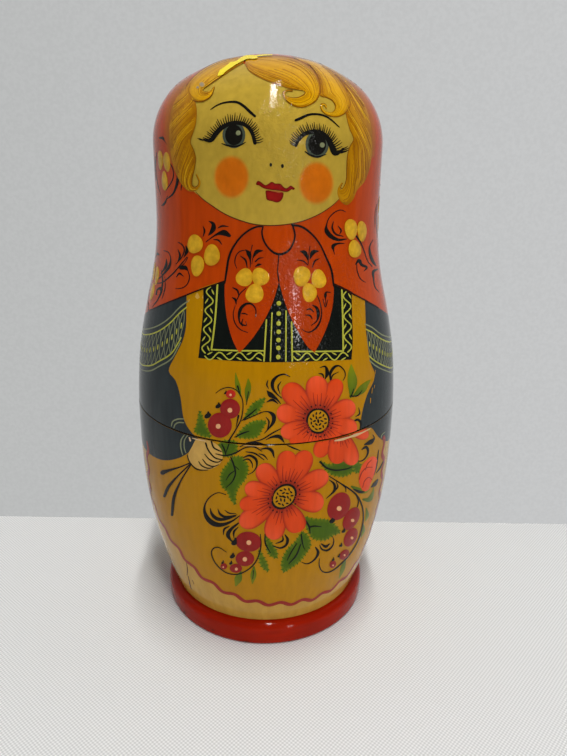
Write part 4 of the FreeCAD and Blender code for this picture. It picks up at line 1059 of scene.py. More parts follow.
def border(pot, run, bays):
    """A wavy line along the yoke's edge with a short stroke in every bay."""
    line = evenly(run, bays * BAY_PLACES + 1)
    _, side = ways(line)
    wave = line + side * (BORDER_WAVE * np.sin(np.linspace(0, bays * math.pi, len(line))))[:, None]
    pot.stroke(brushed(wave[::2], BORDER_WIDE), LIFT["trim"], TRIM_GREEN)
    for bay in range(bays):
        middle = bay * BAY_PLACES + BAY_PLACES // 2
        way = BORDER_WAVE * (1 if bay % 2 else -1)
        stroke = [(*(line[middle + off] + side[middle + off] * way * share), width)
                  for off, share, width in BAY_STROKE]
        pot.stroke(stroke, LIFT["trim"], TRIM_GREEN, body=0.04)


def trimming(pot):
    """Light lines on the dark cloth: the yoke's border, its buttons, the sleeves' bands and cuffs."""
    pot.strokes(YOKE_TRIM, LIFT["trim"], TRIM_GREEN)
    for run, bays in YOKE_BORDERS:
        border(pot, run, bays)
    for place in BUTTONS:
        pot.dab(place, BUTTON_RADIUS, BUTTON_RADIUS, LIFT["trim"], TRIM_GREEN, body=0.12)
    sleeve_bands(pot)
    pot.strokes(CUFFS, LIFT["trim"], TRIM_GREY)
    pot.stroke(CUFF_LIGHT, LIFT["trim"], BARE_WOOD)


def kerchief_tails(pot):
    """The two ends of the kerchief that hang over the yoke."""
    for tail in (LEFT_TAIL, RIGHT_TAIL):
        pot.zone(joined(tail, FRONT_STEP * pot.detail), LIFT["tails"], TAIL_RED, spacing=4.2)


def kerchief_dabs(pot):
    """Yellow dabs in threes, on the tails and all round the kerchief."""
    look = {"edge_tint": DAB_EDGE, "unround": DAB_UNROUND}
    for x, y, *halves in PHOTO_DABS:
        pot.dab((x, y), *halves, LIFT["dabs"], DAB_YELLOW, **look)
    for x, z in rounded(ROUND_TRIOS):
        for right, up, *halves in TRIO:
            pot.dab((x + right, z + up), *halves, LIFT["round dabs"], DAB_YELLOW, round_shape=True, **look)


def kerchief_lines(pot):
    """Black scrolls on the kerchief and its tails, and the outlines of knot, tails, yoke and hem."""
    pot.strokes(KERCHIEF_SPRAYS, LIFT["scrolls"], BLACK)
    pot.strokes([*TAIL_SPRAYS, *TAIL_LINES], LIFT["tail scrolls"], BLACK)
    pot.strokes(YOKE_EDGES, LIFT["yoke edge"], BLACK)
    for k, (x, z) in enumerate(rounded(ROUND_TRIOS)):
        way = 1 if k % 2 else -1
        for spray in ROUND_SPRAY:
            line = [(x + way * right, z + up, width) for right, up, width in spray]
            pot.stroke(line, LIFT["scrolls"], BLACK, round_shape=True)
    pot.strokes(HEM_LINES, LIFT["hem"], HEM_BROWN)


def face(pot):
    """The face's skin, cheeks, nose and lips with a painted highlight on the lower lip, and the rings of the
    eyes.
    """
    pot.zone(closed(FACE_EDGE, FRONT_STEP * pot.detail), LIFT["skin"], FACE)
    for centre, half_wide, half_high in CHEEKS:
        pot.dab(centre, half_wide * CHEEK_BLUSH, half_high * CHEEK_BLUSH, LIFT["cheeks"], CHEEK, body=0.05,
                edge_tint=FACE, fade=CHEEK_FADE)
    for centre, *halves in NOSTRILS:
        pot.dab(centre, *halves, LIFT["nose"], BLACK, body=0.03)
    for k, lip in enumerate((LOWER_LIP, UPPER_LIP)):
        lift = LIFT["lips"] + LIP_LAYER * k
        pot.zone(closed(lip, pot.detail), lift, LIP_EDGE, spacing=1.2, heart_tint=LIP_RED, depth=2.0)
    # Painted highlight along the top of the lower lip
    pot.stroke(LIP_HIGHLIGHT, LIFT["lip highlight"], LIP_HIGHLIGHT_TONE, body=0.02)
    for centre, half_wide, half_high in EYES:
        pot.dab(centre, half_wide * IRIS_WIDE, half_high * IRIS_HIGH, LIFT["iris"], IRIS_RING, body=0.03)


def lashes(pot, lid):
    """Short strokes that fan off an eyelid."""
    line = smooth(lid, CURVE_STEP)
    middle = line[:, :2].mean(0) + np.array([0, LASH_MIDDLE])
    for k in range(LASHES):
        share = k / (LASHES - 1)
        x, y, width = line[min(len(line) - 1, int(share * (len(line) - 1)))]
        root = np.array([x, y])
        out = (root - middle) / np.linalg.norm(root - middle)
        reach = width / 2 + LASH_LENGTH * (LEAST_SHARE + MORE_SHARE * pot.random.random())
        sway = np.array([-out[1], out[0]]) * (0.5 - share) * LASH_SWAY
        bend, tip = root + out * reach * LASH_BEND, root + out * reach + sway
        pot.stroke(brushed((root, bend, tip), LASH_WIDTHS), LIFT["eye lines"], BLACK, body=0.02, step=2)


def eye_lines(pot):
    """Eyes, lids, lashes and brows, and the brown line under the chin."""
    for centre, half_wide, half_high in EYES:
        pot.dab(centre, half_wide * PUPIL_SHARE, half_high * PUPIL_SHARE, LIFT["pupils"], BLACK, body=0.06)
    for lid in (LEFT_LID, RIGHT_LID):
        pot.stroke(lid, LIFT["lids"], BLACK)
        if pot.fine:
            lashes(pot, lid)
    pot.strokes([LEFT_LOWER_LID, RIGHT_LOWER_LID], LIFT["eye lines"], BLACK)
    for brow in (LEFT_BROW, RIGHT_BROW):
        pot.stroke([(x, y, BROW_WIDE * wide) for x, y, wide in brow], LIFT["eye lines"], BLACK)
    pot.stroke(CHIN_LINE, LIFT["chin"], BROWN_LINE)


def eye_lights(pot):
    """The small pale touches on the eyes."""
    for place, size in EYE_LIGHTS:
        pot.dab(place, size, size, LIFT["eye lights"], TRIM_GREY, body=0.05)


def hair_strokes(pot, curves, lift, twisted):
    """Fine light and dark strokes along a lock, and slantwise over a twisted one."""
    inner, outer = (evenly(curve, HAIR_PLACES) for curve in curves)
    for _ in range(HAIR_STROKES[twisted]):
        share = STRAND_START + STRAND_REACH * pot.random.random() ** STRAND_CROWD
        first = pot.random.randint(2, HAIR_FIRST)
        last = min(HAIR_PLACES - 1, first + HAIR_RUN[twisted])
        line = []
        for i in range(first, last + 1, 2):
            part = share + (STRAND_DRIFT * (i - first) / (last - first) if twisted else 0)
            if part < HAIR_LAST:
                line.append(between(inner[i], outer[i], part))
        if len(line) > 3:
            tints = (HAIR_FINE if twisted else HAIR_AMBER, HAIR_BROWN, HAIR_LIGHT)
            pot.stroke(brushed(line, HAIR_WIDE), lift, tints[pot.random.randint(0, 2)], body=0.012)


def hair(pot):
    """The curls round the face, lock over lock."""
    for k in TWISTED_LOCKS:
        fringe = evenly(LOCKS[k][1], FRINGE_PLACES)[:-FRINGE_CUT]
        narrower = np.linspace(1, FRINGE_END, len(fringe))
        for layer, (wide, tint) in enumerate(HAIR_EDGES):
            lift = LIFT["hair edge"] + EDGE_LAYER * layer
            pot.stroke(brushed(fringe, wide * narrower), lift, tint, body=0.01, across=9)
    for k, curves in enumerate(LOCKS):
        lift, twisted = LIFT["locks"] + LOCK_LAYER * k, k in TWISTED_LOCKS
        light = HAIR_AMBER if twisted else HAIR_GOLD
        pot.lock(*curves, lift, light, HAIR_BROWN, TWISTS if twisted else 0)
        count = max(EDGE_LEAST, round(EDGE_PLACES / pot.detail))
        for curve in curves[:1] if twisted else curves:
            line = brushed(evenly(curve, count), np.linspace(*EDGE_WIDTHS, count))
            pot.stroke(line, lift + EDGE_RISE, HAIR_BROWN, end_tint=HAIR_LINE, body=0.03)
        if pot.fine:
            hair_strokes(pot, curves, lift + STRAND_RISE, twisted)


def petals_round(pot, heart, petals, lift):
    """Petals that spread from a flower's heart."""
    heart = np.array(heart)
    for k, (x, y, half_wide) in enumerate(petals):
        tip = np.array([x, y])
        root = heart + (tip - heart) * PETAL_START
        shades = (PETAL_ROOT, CORAL, CORAL_PINK if k % 3 else CORAL)
        pot.petal(root, tip, half_wide * PETAL_FULL, lift + PETAL_LAYER * (k % 4), shades)


def flower(pot, heart, petals, size, tilt, lift):
    """One big flower: petals all round, then a mustard heart in a black ring."""
    petals_round(pot, heart, petals, lift)
    for share, rise, tint, body in HEART:
        pot.dab(heart, size[0] * share, size[1] * share, lift + rise, tint, tilt=tilt, body=body)


def heart_dots(pot, heart, size, tilt, lift):
    """Dark seeds on a flower's heart and stamens round it."""
    for reach, count, dot in HEART_RINGS:
        seed = reach < 1
        for k in range(count):
            turn = 2 * math.pi * (k + 0.5 * (count % 4 == 0)) / count
            far = reach * (1 + SEED_SWAY * (pot.random.random() - 0.5) * seed)
            x, y = turned_by(size[0] * far * math.cos(turn), size[1] * far * math.sin(turn), tilt)
            pot.dab((heart[0] + x, heart[1] + y), dot * (SEED_LONG if seed else 1), dot * SEED_HIGH,
                    lift + (SEED_RISE if seed else STAMEN_RISE), BLACK, tilt=180 * pot.random.random(),
                    body=0.03)


def flowers(pot):
    """The big lower flower and the bud on the apron."""
    flower(pot, LOWER_HEART, LOWER_PETALS, LOWER_SIZE, LOWER_TILT, LIFT["lower flower"])
    pot.stroke(BUD, LIFT["bud"], CORAL, end_tint=CORAL_PINK, body=0.15, across=7)
    pot.strokes(BUD_LINES, LIFT["bud lines"], PETAL_LINE, body=0.02)


def upper_flower(pot):
    """The part of the upper flower that is on the top half."""
    flower(pot, UPPER_HEART, UPPER_PETALS, UPPER_SIZE, 0, LIFT["upper flower"])


def turned_petals(pot):
    """The part of the upper flower that is on the bottom half."""
    petals_round(pot, TURNED_HEART, TURNED_PETALS, LIFT["upper flower"])


def berries(pot):
    """Dark red berries with a pale touch on each."""
    for k, (x, y, half_wide, half_high, tilt, light, _) in enumerate(BERRIES):
        tint = BERRY if k else BERRY_RED
        pot.dab((x, y), half_wide, half_high, LIFT["berries"], tint, tilt=tilt, body=0.2)
        touch = max(TOUCH_LEAST, min(TOUCH_MOST, half_wide * TOUCH_SHARE))
        pot.dab(light, touch, touch, LIFT["berry lights"], HIGHLIGHT, body=0.08)


def teeth(pot, leaf):
    """Short brush marks off a leaf's edge, all leaning one way round it."""
    line = closed(leaf, CURVE_STEP)
    middle = line.mean(0)
    along = np.roll(line, -1, axis=0) - line
    for k in range(TOOTH_FIRST, len(line), TOOTH_STEP):
        way = along[k] / max(SAME_PLACE, np.linalg.norm(along[k]))
        out = np.array([-way[1], way[0]])
        if (out * (line[k] - middle)).sum() < 0:
            out = -out
        tip = line[k] + (out * (LEAST_SHARE + MORE_SHARE * pot.random.random()) + TOOTH_LEAN * way)
        run = (line[k] - TOOTH_ROOT * out, line[k], tip)
        pot.stroke(brushed(run, TOOTH_WIDTHS), LIFT["leaves"], LEAF, body=0.03, step=1)


def leaves(pot):
    """Leaves of both sprays, each lighter towards its edge."""
    for leaf in LEAVES:
        outline = closed(leaf, LEAF_STEP * pot.detail)
        pot.zone(outline, LIFT["leaves"], LEAF_LIGHT, spacing=2.4, heart_tint=LEAF, depth=2.4)
        if pot.fine:
            teeth(pot, leaf)
    pot.strokes(THIN_LEAVES, LIFT["leaves"], LEAF, end_tint=LEAF_LIGHT, body=0.08, across=5)


def hand(pot):
    """The hand that holds the spray."""
    pot.zone(closed(HAND_EDGE, LEAF_STEP * pot.detail), LIFT["hand"], HAND, spacing=3.4)


def apron_lines(pot):
    """Black scrolls, stems, fingers, the berries' tufts and the flowers' seeds, and cracks in the paint."""
    pot.strokes(APRON_SPRAYS, LIFT["sprays"], BLACK)
    pot.strokes([*APRON_STEMS, *FINGERS], LIFT["stems"], BLACK)
    for _, _, half_wide, _, _, _, tuft in BERRIES:
        across = max(TUFT_LEAST, half_wide * TUFT_SHARE)
        for (right, down), wide, high, tilt in TUFT:
            place = (tuft[0] + right, tuft[1] + down)
            pot.dab(place, across * wide, across * high, LIFT["stems"], BLACK, tilt=tilt, body=0.05)
    heart_dots(pot, LOWER_HEART, LOWER_SIZE, LOWER_TILT, LIFT["lower flower"])
    heart_dots(pot, UPPER_HEART, UPPER_SIZE, 0, LIFT["upper flower"])
    pot.strokes(CRACKS, LIFT["cracks"], BROWN_LINE)


def wear(pot):
    """What use has left on this doll: yellow paint, marks on hair, sleeve and foot, and chipped seams."""
    pot.strokes(SEAM_CHIPS, LIFT["chips"], BARE_WOOD, body=0.02)
    pot.zone(closed(CHIP, CHIP_STEP), LIFT["yellow patch"], CHIP_YELLOW, spacing=3)
    pot.stroke(CHIP_TAIL, LIFT["yellow stroke"], CHIP_YELLOW)
    pot.strokes(SLEEVE_SCRATCHES, LIFT["scratches"], MUSTARD, body=0.02)
    for marks, layer, tint, around in ((FOOT_MARKS, "foot marks", FOOT_GRIME, FOOT_RED),
                                       (SCUFFS, "chips", SCUFF, HAIR_GOLD)):
        for place, half_wide, half_high, tilt in marks:
            pot.dab(place, half_wide, half_high, LIFT[layer], tint, tilt=tilt, body=0.02, edge_tint=around)


def wavy_line(pot):
    """The dark red line along the apron's wavy edge."""
    line = evenly(rounded(WAVE_LINE), WAVE_PLACES)
    _, side = ways(line)
    line = line + side * (WAVE_DEPTH * np.sin(np.linspace(0, 2 * math.pi * WAVES, len(line))))[:, None]
    pot.stroke(brushed(line, WAVE_WIDE), LIFT["wavy line"], WAVE_RED, round_shape=True, body=0.06, step=2)


# What is painted: name, function, material slot, and whether it is large and flat or fine brush work
COATS = [
    ("skirt", skirt_above_seam, "skirt", "zones"), ("apron", apron, "apron", "zones"),
    ("dress", dress, "dress", "zones"), ("tails", kerchief_tails, "kerchief", "zones"),
    ("face", face, "face", "zones"), ("hand", hand, "face", "zones"),
    ("trimming", trimming, "line_work", "brush"), ("dabs", kerchief_dabs, "line_work", "brush"),
    ("scrolls", kerchief_lines, "line_work", "brush"), ("hair", hair, "hair", "brush"),
    ("eyes", eye_lines, "line_work", "brush"), ("lights", eye_lights, "line_work", "brush"),
    ("leaves", leaves, "leaves", "brush"), ("flowers", flowers, "flowers", "brush"),
    ("upper_flower", upper_flower, "flowers", "brush"), ("turned_petals", turned_petals, "flowers", "brush"),
    ("berries", berries, "flowers", "brush"), ("stems", apron_lines, "line_work", "brush"),
    ("wavy_line", wavy_line, "line_work", "brush"), ("wear", wear, "line_work", "wear"),
]
# What a small doll has in their place: its two pieces' names, the kind that each holds, and its slot
SMALL_COATS = [("painted_zones", "zones", "dress"), ("brush_work", "brush", "line_work")]
# Coats that are on one half only, and a height on that half
ONE_HALF = {"upper_flower": TOP, "turned_petals": 0.0}

# Places round, paint detail and fineness of each doll from the largest to the innermost
SEGMENTS = (208, 128, 112, 96, 80, 72, 64, 56, 48, 48)
DETAILS = (1.0, 1.5, 1.5, 1.5, 2.4, 2.4, 2.4, 2.4, 2.4, 2.4)
MISS, MISS_POWER, SHARP_ANGLE = 0.012, 0.7, 32
MAP_EDGE, ON_AXIS = 0.004, 1e-6
SOLID_HEM, OVER_FOOT = 113.0, 0.01
# The last wood, on the seam's bevel, is painted shade: near black for the shadow in the joint.
OUTER, BARE, FOOT, SKIRT, SEAM_SHADED = range(5)  # the woods of a turned piece, in the order of its materials


class Doll:
    """One doll of the set: its number, its size and where it stands, and how finely it is painted."""

    def __init__(self, number):
        self.number = number
        self.scale = RATIO ** (number - 1)
        self.base = sum(FLOOR_HEIGHT * RATIO**k for k in range(number - 1))
        self.detail, self.segments = DETAILS[number - 1], SEGMENTS[number - 1]
        self.miss = MISS / self.scale**MISS_POWER
        self.solid = number == DOLLS

    def halves(self):
        """The bodies of this doll with the heights between which each is painted, in largest-doll units."""
        if self.solid:
            return [("innermost_doll", 0.0, TOP + 1)]
        return [(f"bottom_half_{self.number}", 0.0, SEAM_HEIGHT - SEAM_BREAK),
                (f"top_half_{self.number}", SEAM_HEIGHT + SEAM_BREAK, TOP + 1)]


def to_object(name, places, faces, doll, body, materials, material_of=None, tints=None, uv=None):
    """A piece of one doll as an object that rides its body, from places in largest-doll millimetres."""
    mesh = bpy.data.meshes.new(name)
    at = places * doll.scale + np.array([0, 0, doll.base])
    mesh.from_pydata((at * MM).tolist(), [], faces)
    for material in materials:
        mesh.materials.append(material)
    if material_of is not None:
        mesh.polygons.foreach_set("material_index", material_of)
    if tints is not None:
        layer = mesh.color_attributes.new(PAINT, "FLOAT_COLOR", "POINT")
        layer.data.foreach_set("color", np.concatenate([tints, np.ones((len(tints), 1))], 1).ravel())
    if uv is not None:
        mesh.uv_layers.new(name=BAKE_MAP).data.foreach_set("uv", np.asarray(uv, np.float32).ravel())
    mesh.shade_smooth()
    mesh.set_sharp_from_angle(angle=math.radians(SHARP_ANGLE))
    mesh.update()
    piece = bpy.data.objects.new(name, mesh)
    bpy.context.scene.collection.objects.link(piece)
    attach(piece, body)
    return piece


def on_map(share):
    """A share of the way round or along a piece, as a place on its bake map."""
    return MAP_EDGE + (1 - 2 * MAP_EDGE) * share


def turned(doll, body, runs, materials):
    """A turned half: each run is (wood, places), and the runs join into one outline."""
    line, woods = [runs[0][1][0]], []
    for wood, places in runs:
        for place in places[1:] if math.dist(line[-1], places[0]) < ON_AXIS else places:
            line.append(place)
            woods.append(wood)
    line = np.array(line)
    gone = np.concatenate([[0], np.cumsum(np.linalg.norm(np.diff(line, axis=0), axis=1))])
    v = on_map(gone / gone[-1])
    count = doll.segments
    turn = np.linspace(-math.pi, math.pi, count, endpoint=False)
    places, first = [], []
    for radius, height in line:
        first.append(len(places))
        places += [(0.0, 0.0, height)] if radius < ON_AXIS else [
            (radius * math.sin(t), -radius * math.cos(t), height) for t in turn]
    faces, material_of, uv = [], [], []
    for k, wood in enumerate(woods):
        a, b = first[k], first[k + 1]
        for i in range(count):
            j = (i + 1) % count
            left, right = on_map(i / count), on_map((i + 1) / count)
            middle = (left + right) / 2
            if line[k][0] < ON_AXIS:
                faces.append((a, b + j, b + i))
                uv += [(middle, v[k]), (right, v[k + 1]), (left, v[k + 1])]
            elif line[k + 1][0] < ON_AXIS:
                faces.append((a + i, a + j, b))
                uv += [(left, v[k]), (right, v[k]), (middle, v[k + 1])]
            else:
                faces.append((a + i, a + j, b + j, b + i))
                uv += [(left, v[k]), (right, v[k]), (right, v[k + 1]), (left, v[k + 1])]
            material_of.append(wood)
    name, places = f"turned_{body}", np.array(places)
    piece = to_object(name, places, faces, doll, body, materials, material_of, uv=uv)
    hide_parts(body)


def seam_radii(doll):
    """Radii at the joint: outside at the seam, socket, spigot and mouth, in largest-doll units."""
    socket = float(radius_at(SEAM_HEIGHT + SPIGOT_HEIGHT + SPIGOT_RELIEF)) - SOCKET_WALL
    spigot = socket - SPIGOT_GAP / doll.scale
    return float(radius_at(SEAM_HEIGHT)), socket, spigot, spigot - SPIGOT_WALL


def foot_of(line):
    """The places of an outline that are on the foot."""
    return [p for p in line if p[1] <= FOOT_HEIGHT + OVER_FOOT]


def turn_bottom(doll, woods):
    """The bottom half: base, foot, belly, seam, spigot, wall and floor."""
    miss, seam = doll.miss, SEAM_HEIGHT
    edge, _, spigot, mouth = seam_radii(doll)
    spigot_top = seam + SPIGOT_HEIGHT
    line = cut_to(outside(miss), 0, seam - SEAM_BREAK)
    foot = foot_of(line)
    radius = swing(BELLY_RADIUS - WAIST_RADIUS, BELLY_HEIGHT - FOOT_HEIGHT)
    centre = BELLY_RADIUS - radius
    reach, down = radius - WALL - FLOOR_CORNER, BELLY_HEIGHT - FLOOR_HEIGHT - FLOOR_CORNER
    corner = centre + math.sqrt(reach**2 - down**2)
    turn = -math.degrees(math.asin(down / reach))
    wall = arc((centre, BELLY_HEIGHT), radius - WALL, 0, turn, miss)
    floor = arc((corner, FLOOR_HEIGHT + FLOOR_CORNER), FLOOR_CORNER, turn, -90, miss)[1:]
    turned(doll, f"bottom_half_{doll.number}", [
        (BARE, [(0, 0), foot[0]]), (FOOT, foot), (OUTER, line[len(foot) - 1:]),
        # The seam's bevel, painted near black as shade in the joint between the halves
        (SEAM_SHADED, [line[-1], (edge - SEAM_BREAK, seam)]),
        (BARE, [(edge - SEAM_BREAK, seam), (spigot, seam), (spigot, spigot_top - SPIGOT_EASE),
                (spigot - SPIGOT_EASE, spigot_top), (mouth, spigot_top), *wall, *floor, (0, FLOOR_HEIGHT)]),
    ], woods)


def turn_top(doll, woods):
    """The top half: crown, head, shoulders, seam, socket and hollow."""
    miss, seam, rest = doll.miss, SEAM_HEIGHT, SEAM_HEIGHT + SEAM_AIR
    edge, socket, _, _ = seam_radii(doll)
    socket_top = seam + SPIGOT_HEIGHT + SPIGOT_RELIEF
    line = cut_to(outside(miss), seam + SEAM_BREAK, TOP)[:-1]
    hollow = cut_to(belly_and_neck(WALL, miss), socket_top, NECK_HEIGHT)
    start, top = HEAD_HEIGHT - (CROWN_WALL - WALL), TOP - CROWN_WALL
    inner_dome = dome(NECK_RADIUS - WALL, start, SHOULDER_RADIUS - WALL, top, miss)
    half_ease = SPIGOT_EASE / 2
    turned(doll, f"top_half_{doll.number}", [
        (BARE, [(0, top), *inner_dome[-2::-1], *hollow[::-1], (socket, socket_top),
                (socket, seam + half_ease), (socket + half_ease, rest), (edge - SEAM_BREAK, rest)]),
        # The seam's bevel, painted near black as shade in the joint between the halves
        (SEAM_SHADED, [(edge - SEAM_BREAK, rest), line[0]]),
        (OUTER, [*line, (0, TOP)]),
    ], woods)


def turn_solid(doll, woods):
    """The innermost doll, turned from one piece."""
    line = outside(doll.miss)[:-1]
    foot, skirt = foot_of(line), [p for p in line if p[1] <= SOLID_HEM]
    turned(doll, "innermost_doll", [
        (BARE, [(0, 0), foot[0]]), (FOOT, foot), (SKIRT, skirt[len(foot) - 1:]),
        (OUTER, [*line[len(skirt) - 1:], (0, TOP)]),
    ], woods)


def clipped(places, faces, tints, low, high):
    """The part of some paint between two heights, cut cleanly there."""
    height = places[:, 2]
    if height.min() >= low and height.max() <= high:
        return places, faces, tints
    mesh = bmesh.new()
    layer = mesh.verts.layers.float_color.new(PAINT)
    corners = [mesh.verts.new(p) for p in places]
    for corner, tint in zip(corners, tints):
        corner[layer] = (*tint, 1)
    for face_corners in faces:
        heights = [height[i] for i in face_corners]
        if max(heights) > low and min(heights) < high:
            mesh.faces.new([corners[i] for i in face_corners])
    for level, way in ((low, -1), (high, 1)):
        every = [*mesh.verts, *mesh.edges, *mesh.faces]
        plane = {"plane_co": (0, 0, level), "plane_no": (0, 0, way)}
        bmesh.ops.bisect_plane(mesh, geom=every, clear_outer=True, **plane)
    for corner in [v for v in mesh.verts if not v.link_faces]:
        mesh.verts.remove(corner)
    mesh.verts.index_update()
    result = (np.array([tuple(v.co) for v in mesh.verts]).reshape(-1, 3),
              [tuple(v.index for v in f.verts) for f in mesh.faces],
              np.array([tuple(v[layer])[:3] for v in mesh.verts]).reshape(-1, 3))
    mesh.free()
    return result


def together(coats):
    """Several coats as one set of places, faces and tints."""
    places, faces, tints, first = [], [], [], 0
    for at, coat_faces, coat_tints in coats:
        places.append(at)
        faces += [tuple(int(i) + first for i in f) for f in coat_faces]
        tints.append(coat_tints)
        first += len(at)
    return np.concatenate(places), faces, np.concatenate(tints)


class Painting:
    """The drawing at one detail, mixed once and cut once at the seam for all dolls that share it."""

    def __init__(self, detail):
        self.pots, self.cut = {}, {}
        for name, brush, _, _ in COATS:
            self.pots[name] = Pot(detail)
            brush(self.pots[name])

    def part(self, names, low, high):
        """Some coats between two heights as places, faces and tints, with no faces where nothing is there."""
        key = (names, low, high)
        if key not in self.cut:
            coats = [coat for name in names if low <= ONE_HALF.get(name, low) <= high
                     for coat in self.pots[name].coats]
            self.cut[key] = clipped(*together(coats), low, high) if coats else (None, [], None)
        return self.cut[key]


def lay_paint(doll, painting, materials):
    """Paints one doll. The largest gets a piece for each pot, the others those of SMALL_COATS."""
    groups = [(name, (name,), slot) for name, _, slot, _ in COATS]
    if doll.number > 1:
        groups = [(title, tuple(coat[0] for coat in COATS if coat[3] == kind), slot)
                  for title, kind, slot in SMALL_COATS]
    for title, names, slot in groups:
        for body, low, high in doll.halves():
            places, faces, tints = painting.part(names, low, high)
            if faces:
                paint = materials.get(title, materials[slot])
                to_object(f"{title}_{body}", places, faces, doll, body, [paint], tints=tints)


# Materials

ALIKE, DARKEST, LIGHTEST = (1, 1, 1), (0.0, 0.0, 0.0), (1.0, 1.0, 1.0)
COLOUR_ENTRIES, COLOUR_RESULT = (6, 7), 2  # the colour sockets of a mix node
# Mottling: scale, stretch, detail and roughness of its noise, and the levels that take its two tones
MOTTLING = {
    "brush marks": (420, (1, 1, 0.12), 4, 0.5, 0.3, 0.68), "pools": (38, ALIKE, 3, 0.5, 0.3, 0.7),
    "grain": (330, (1, 1, 0.035), 5, 0.62, 0.42, 0.6), "pimples": (900, ALIKE, 1.5, 0.5, 0.44, 0.66),
    "pores": (520, (1, 1, 0.03), 5, 0.6, 0.35, 0.65), "years": (60, (1.0, 0.25, 0.05), 2, 0.5, 0.35, 0.65),
    "cloth": (3.0, ALIKE, 2, 0.5, 0.3, 0.7), "wall": (2.0, ALIKE, 2, 0.5, 0.25, 0.75),
    "speckle": (460, ALIKE, 2, 0.5, 0.36, 0.64),
}


class Nodes:
    """A material's node tree, with short names for the few kinds of node that are used."""

    def __init__(self, name):
        self.material = bpy.data.materials.new(name)
        self.material.use_nodes = True
        self.tree = self.material.node_tree
        self.shader = self.tree.nodes["Principled BSDF"]

    def add(self, kind, **settings):
        """A new node."""
        node = self.tree.nodes.new(kind)
        for key, value in settings.items():
            setattr(node, key, value)
        return node

    def join(self, output, entry):
        """A link from one node's output to another's input."""
        self.tree.links.new(output, entry)

    def put(self, entry, value):
        """Joins an output to an input, or sets the input to a number or a plain colour."""
        if isinstance(value, bpy.types.NodeSocket):
            self.join(value, entry)
        else:
            entry.default_value = (*value, 1) if isinstance(value, tuple) else value

    def set(self, **values):
        """Plain values of the shader, with _ for each space in a socket's name."""
        for key, value in values.items():
            self.shader.inputs[key.replace("_", " ")].default_value = value

    def place(self, location=(0, 0, 0), turn=0.0, scale=ALIKE):
        """Places in the object's own space, moved, turned about its upright axis and stretched."""
        mapping = self.add("ShaderNodeMapping")
        for entry, value in (("Location", location), ("Rotation", (0, 0, turn)), ("Scale", scale)):
            mapping.inputs[entry].default_value = value
        self.join(self.add("ShaderNodeTexCoord").outputs["Object"], mapping.inputs["Vector"])
        return mapping.outputs["Vector"]

    def texture(self, kind, place, values=(), **settings):
        """A texture's factor, with plain values for some of its inputs."""
        node = self.add(kind, **settings)
        for key, value in values:
            node.inputs[key].default_value = value
        self.join(place, node.inputs["Vector"])
        return node.outputs["Fac"]

    def noise(self, scale, stretch, detail, rough=0.5):
        """Noise in the object's own space, stretched along its axes."""
        values = (("Scale", scale), ("Detail", detail), ("Roughness", rough))
        return self.texture("ShaderNodeTexNoise", self.place(scale=stretch), values)

    def ramp(self, factor, low, high, dark, light):
        """A soft step between two tones where a factor passes from low to high."""
        ramp = self.add("ShaderNodeValToRGB")
        for stop, at, tone in zip(ramp.color_ramp.elements, (low, high), (dark, light)):
            stop.position, stop.color = at, (*tone, 1)
        self.join(factor, ramp.inputs["Fac"])
        return ramp.outputs["Color"]

    def mottled(self, kind, dark, light, stretch=None):
        """Two tones mottled in one of the ways that MOTTLING lists."""
        scale, own_stretch, detail, rough, low, high = MOTTLING[kind]
        return self.ramp(self.noise(scale, stretch or own_stretch, detail, rough), low, high, dark, light)

    def patches(self, spots):
        """One at the middle of each ball, down to nothing at its rim: balls as (place, radius) in metres."""
        whole = None
        for place, radius in spots:
            inside = self.place([-c / radius for c in place], scale=(1 / radius,) * 3)
            ball = self.texture("ShaderNodeTexGradient", inside, gradient_type="SPHERICAL")
            whole = ball if whole is None else self.combined("MAXIMUM", whole, ball)
        return whole

    def combined(self, operation, *terms):
        """The sum, product or largest of some outputs or numbers."""
        node = self.add("ShaderNodeMath", operation=operation)
        for entry, term in zip(node.inputs, terms):
            self.put(entry, term)
        return node.outputs[0]

    def multiplied(self, first, second, factor=1.0):
        """Two colours multiplied by a share of the effect; either may be an output or a plain colour."""
        node = self.add("ShaderNodeMix", data_type="RGBA", blend_type="MULTIPLY")
        self.put(node.inputs["Factor"], factor)
        for at, value in zip(COLOUR_ENTRIES, (first, second)):
            self.put(node.inputs[at], value)
        return node.outputs[COLOUR_RESULT]

    def blend(self, factor, first, second):
        """Two shaders mixed by an output."""
        node = self.add("ShaderNodeMixShader")
        for entry, output in zip(node.inputs, (factor, first, second)):
            self.join(output, entry)
        return node.outputs["Shader"]

    def bump(self, height, depth, strength=1.0):
        """Turns a height output into fine relief."""
        node = self.add("ShaderNodeBump")
        node.inputs["Strength"].default_value = strength
        node.inputs["Distance"].default_value = depth
        self.join(height, node.inputs["Height"])
        for name in ("Normal", "Coat Normal"):
            self.join(node.outputs["Normal"], self.shader.inputs[name])

    def tint(self, output):
        """The shader's colour."""
        self.join(output, self.shader.inputs["Base Color"])


def grey(level):
    """A tone with the same level in red, green and blue."""
    return (level,) * 3


LACQUER = {
    "Coat_Weight": 1.0, "Coat_Roughness": 0.06, "Coat_IOR": 1.21, "Roughness": 0.5, "Specular_IOR_Level": 0.0,
}
GRAIN_DARK, YEARS_DARK = (0.62, 0.5, 0.36), (0.86, 0.8, 0.72)
POOL_SHARE, YEARS_SHARE, PEBBLED_TO, PIMPLE_HIGH = 0.6, 0.8, 0.35, 3.0
RIPPLES, PAINT_RELIEF = (1100, (1, 1, 0.8), 2), 0.00003
RINGS, RING_RELIEF, RING_STRENGTH = (("Scale", 260), ("Distortion", 0.6)), 0.00006, 0.6


def photo_place(x, y):
    """The place on the largest doll under a pixel, in metres."""
    angle, height = from_photo(np.array([[x, y]], float))
    return [float(c) for c in on_surface(angle, height, np.zeros(1))[0] * MM]


# Where dust and drips have left the lacquer pebbled, as (x, y, radius in millimetres)
PEBBLED = [(photo_place(x, y), radius * MM) for x, y, radius in ((314, 304, 30), (286, 141, 17))]


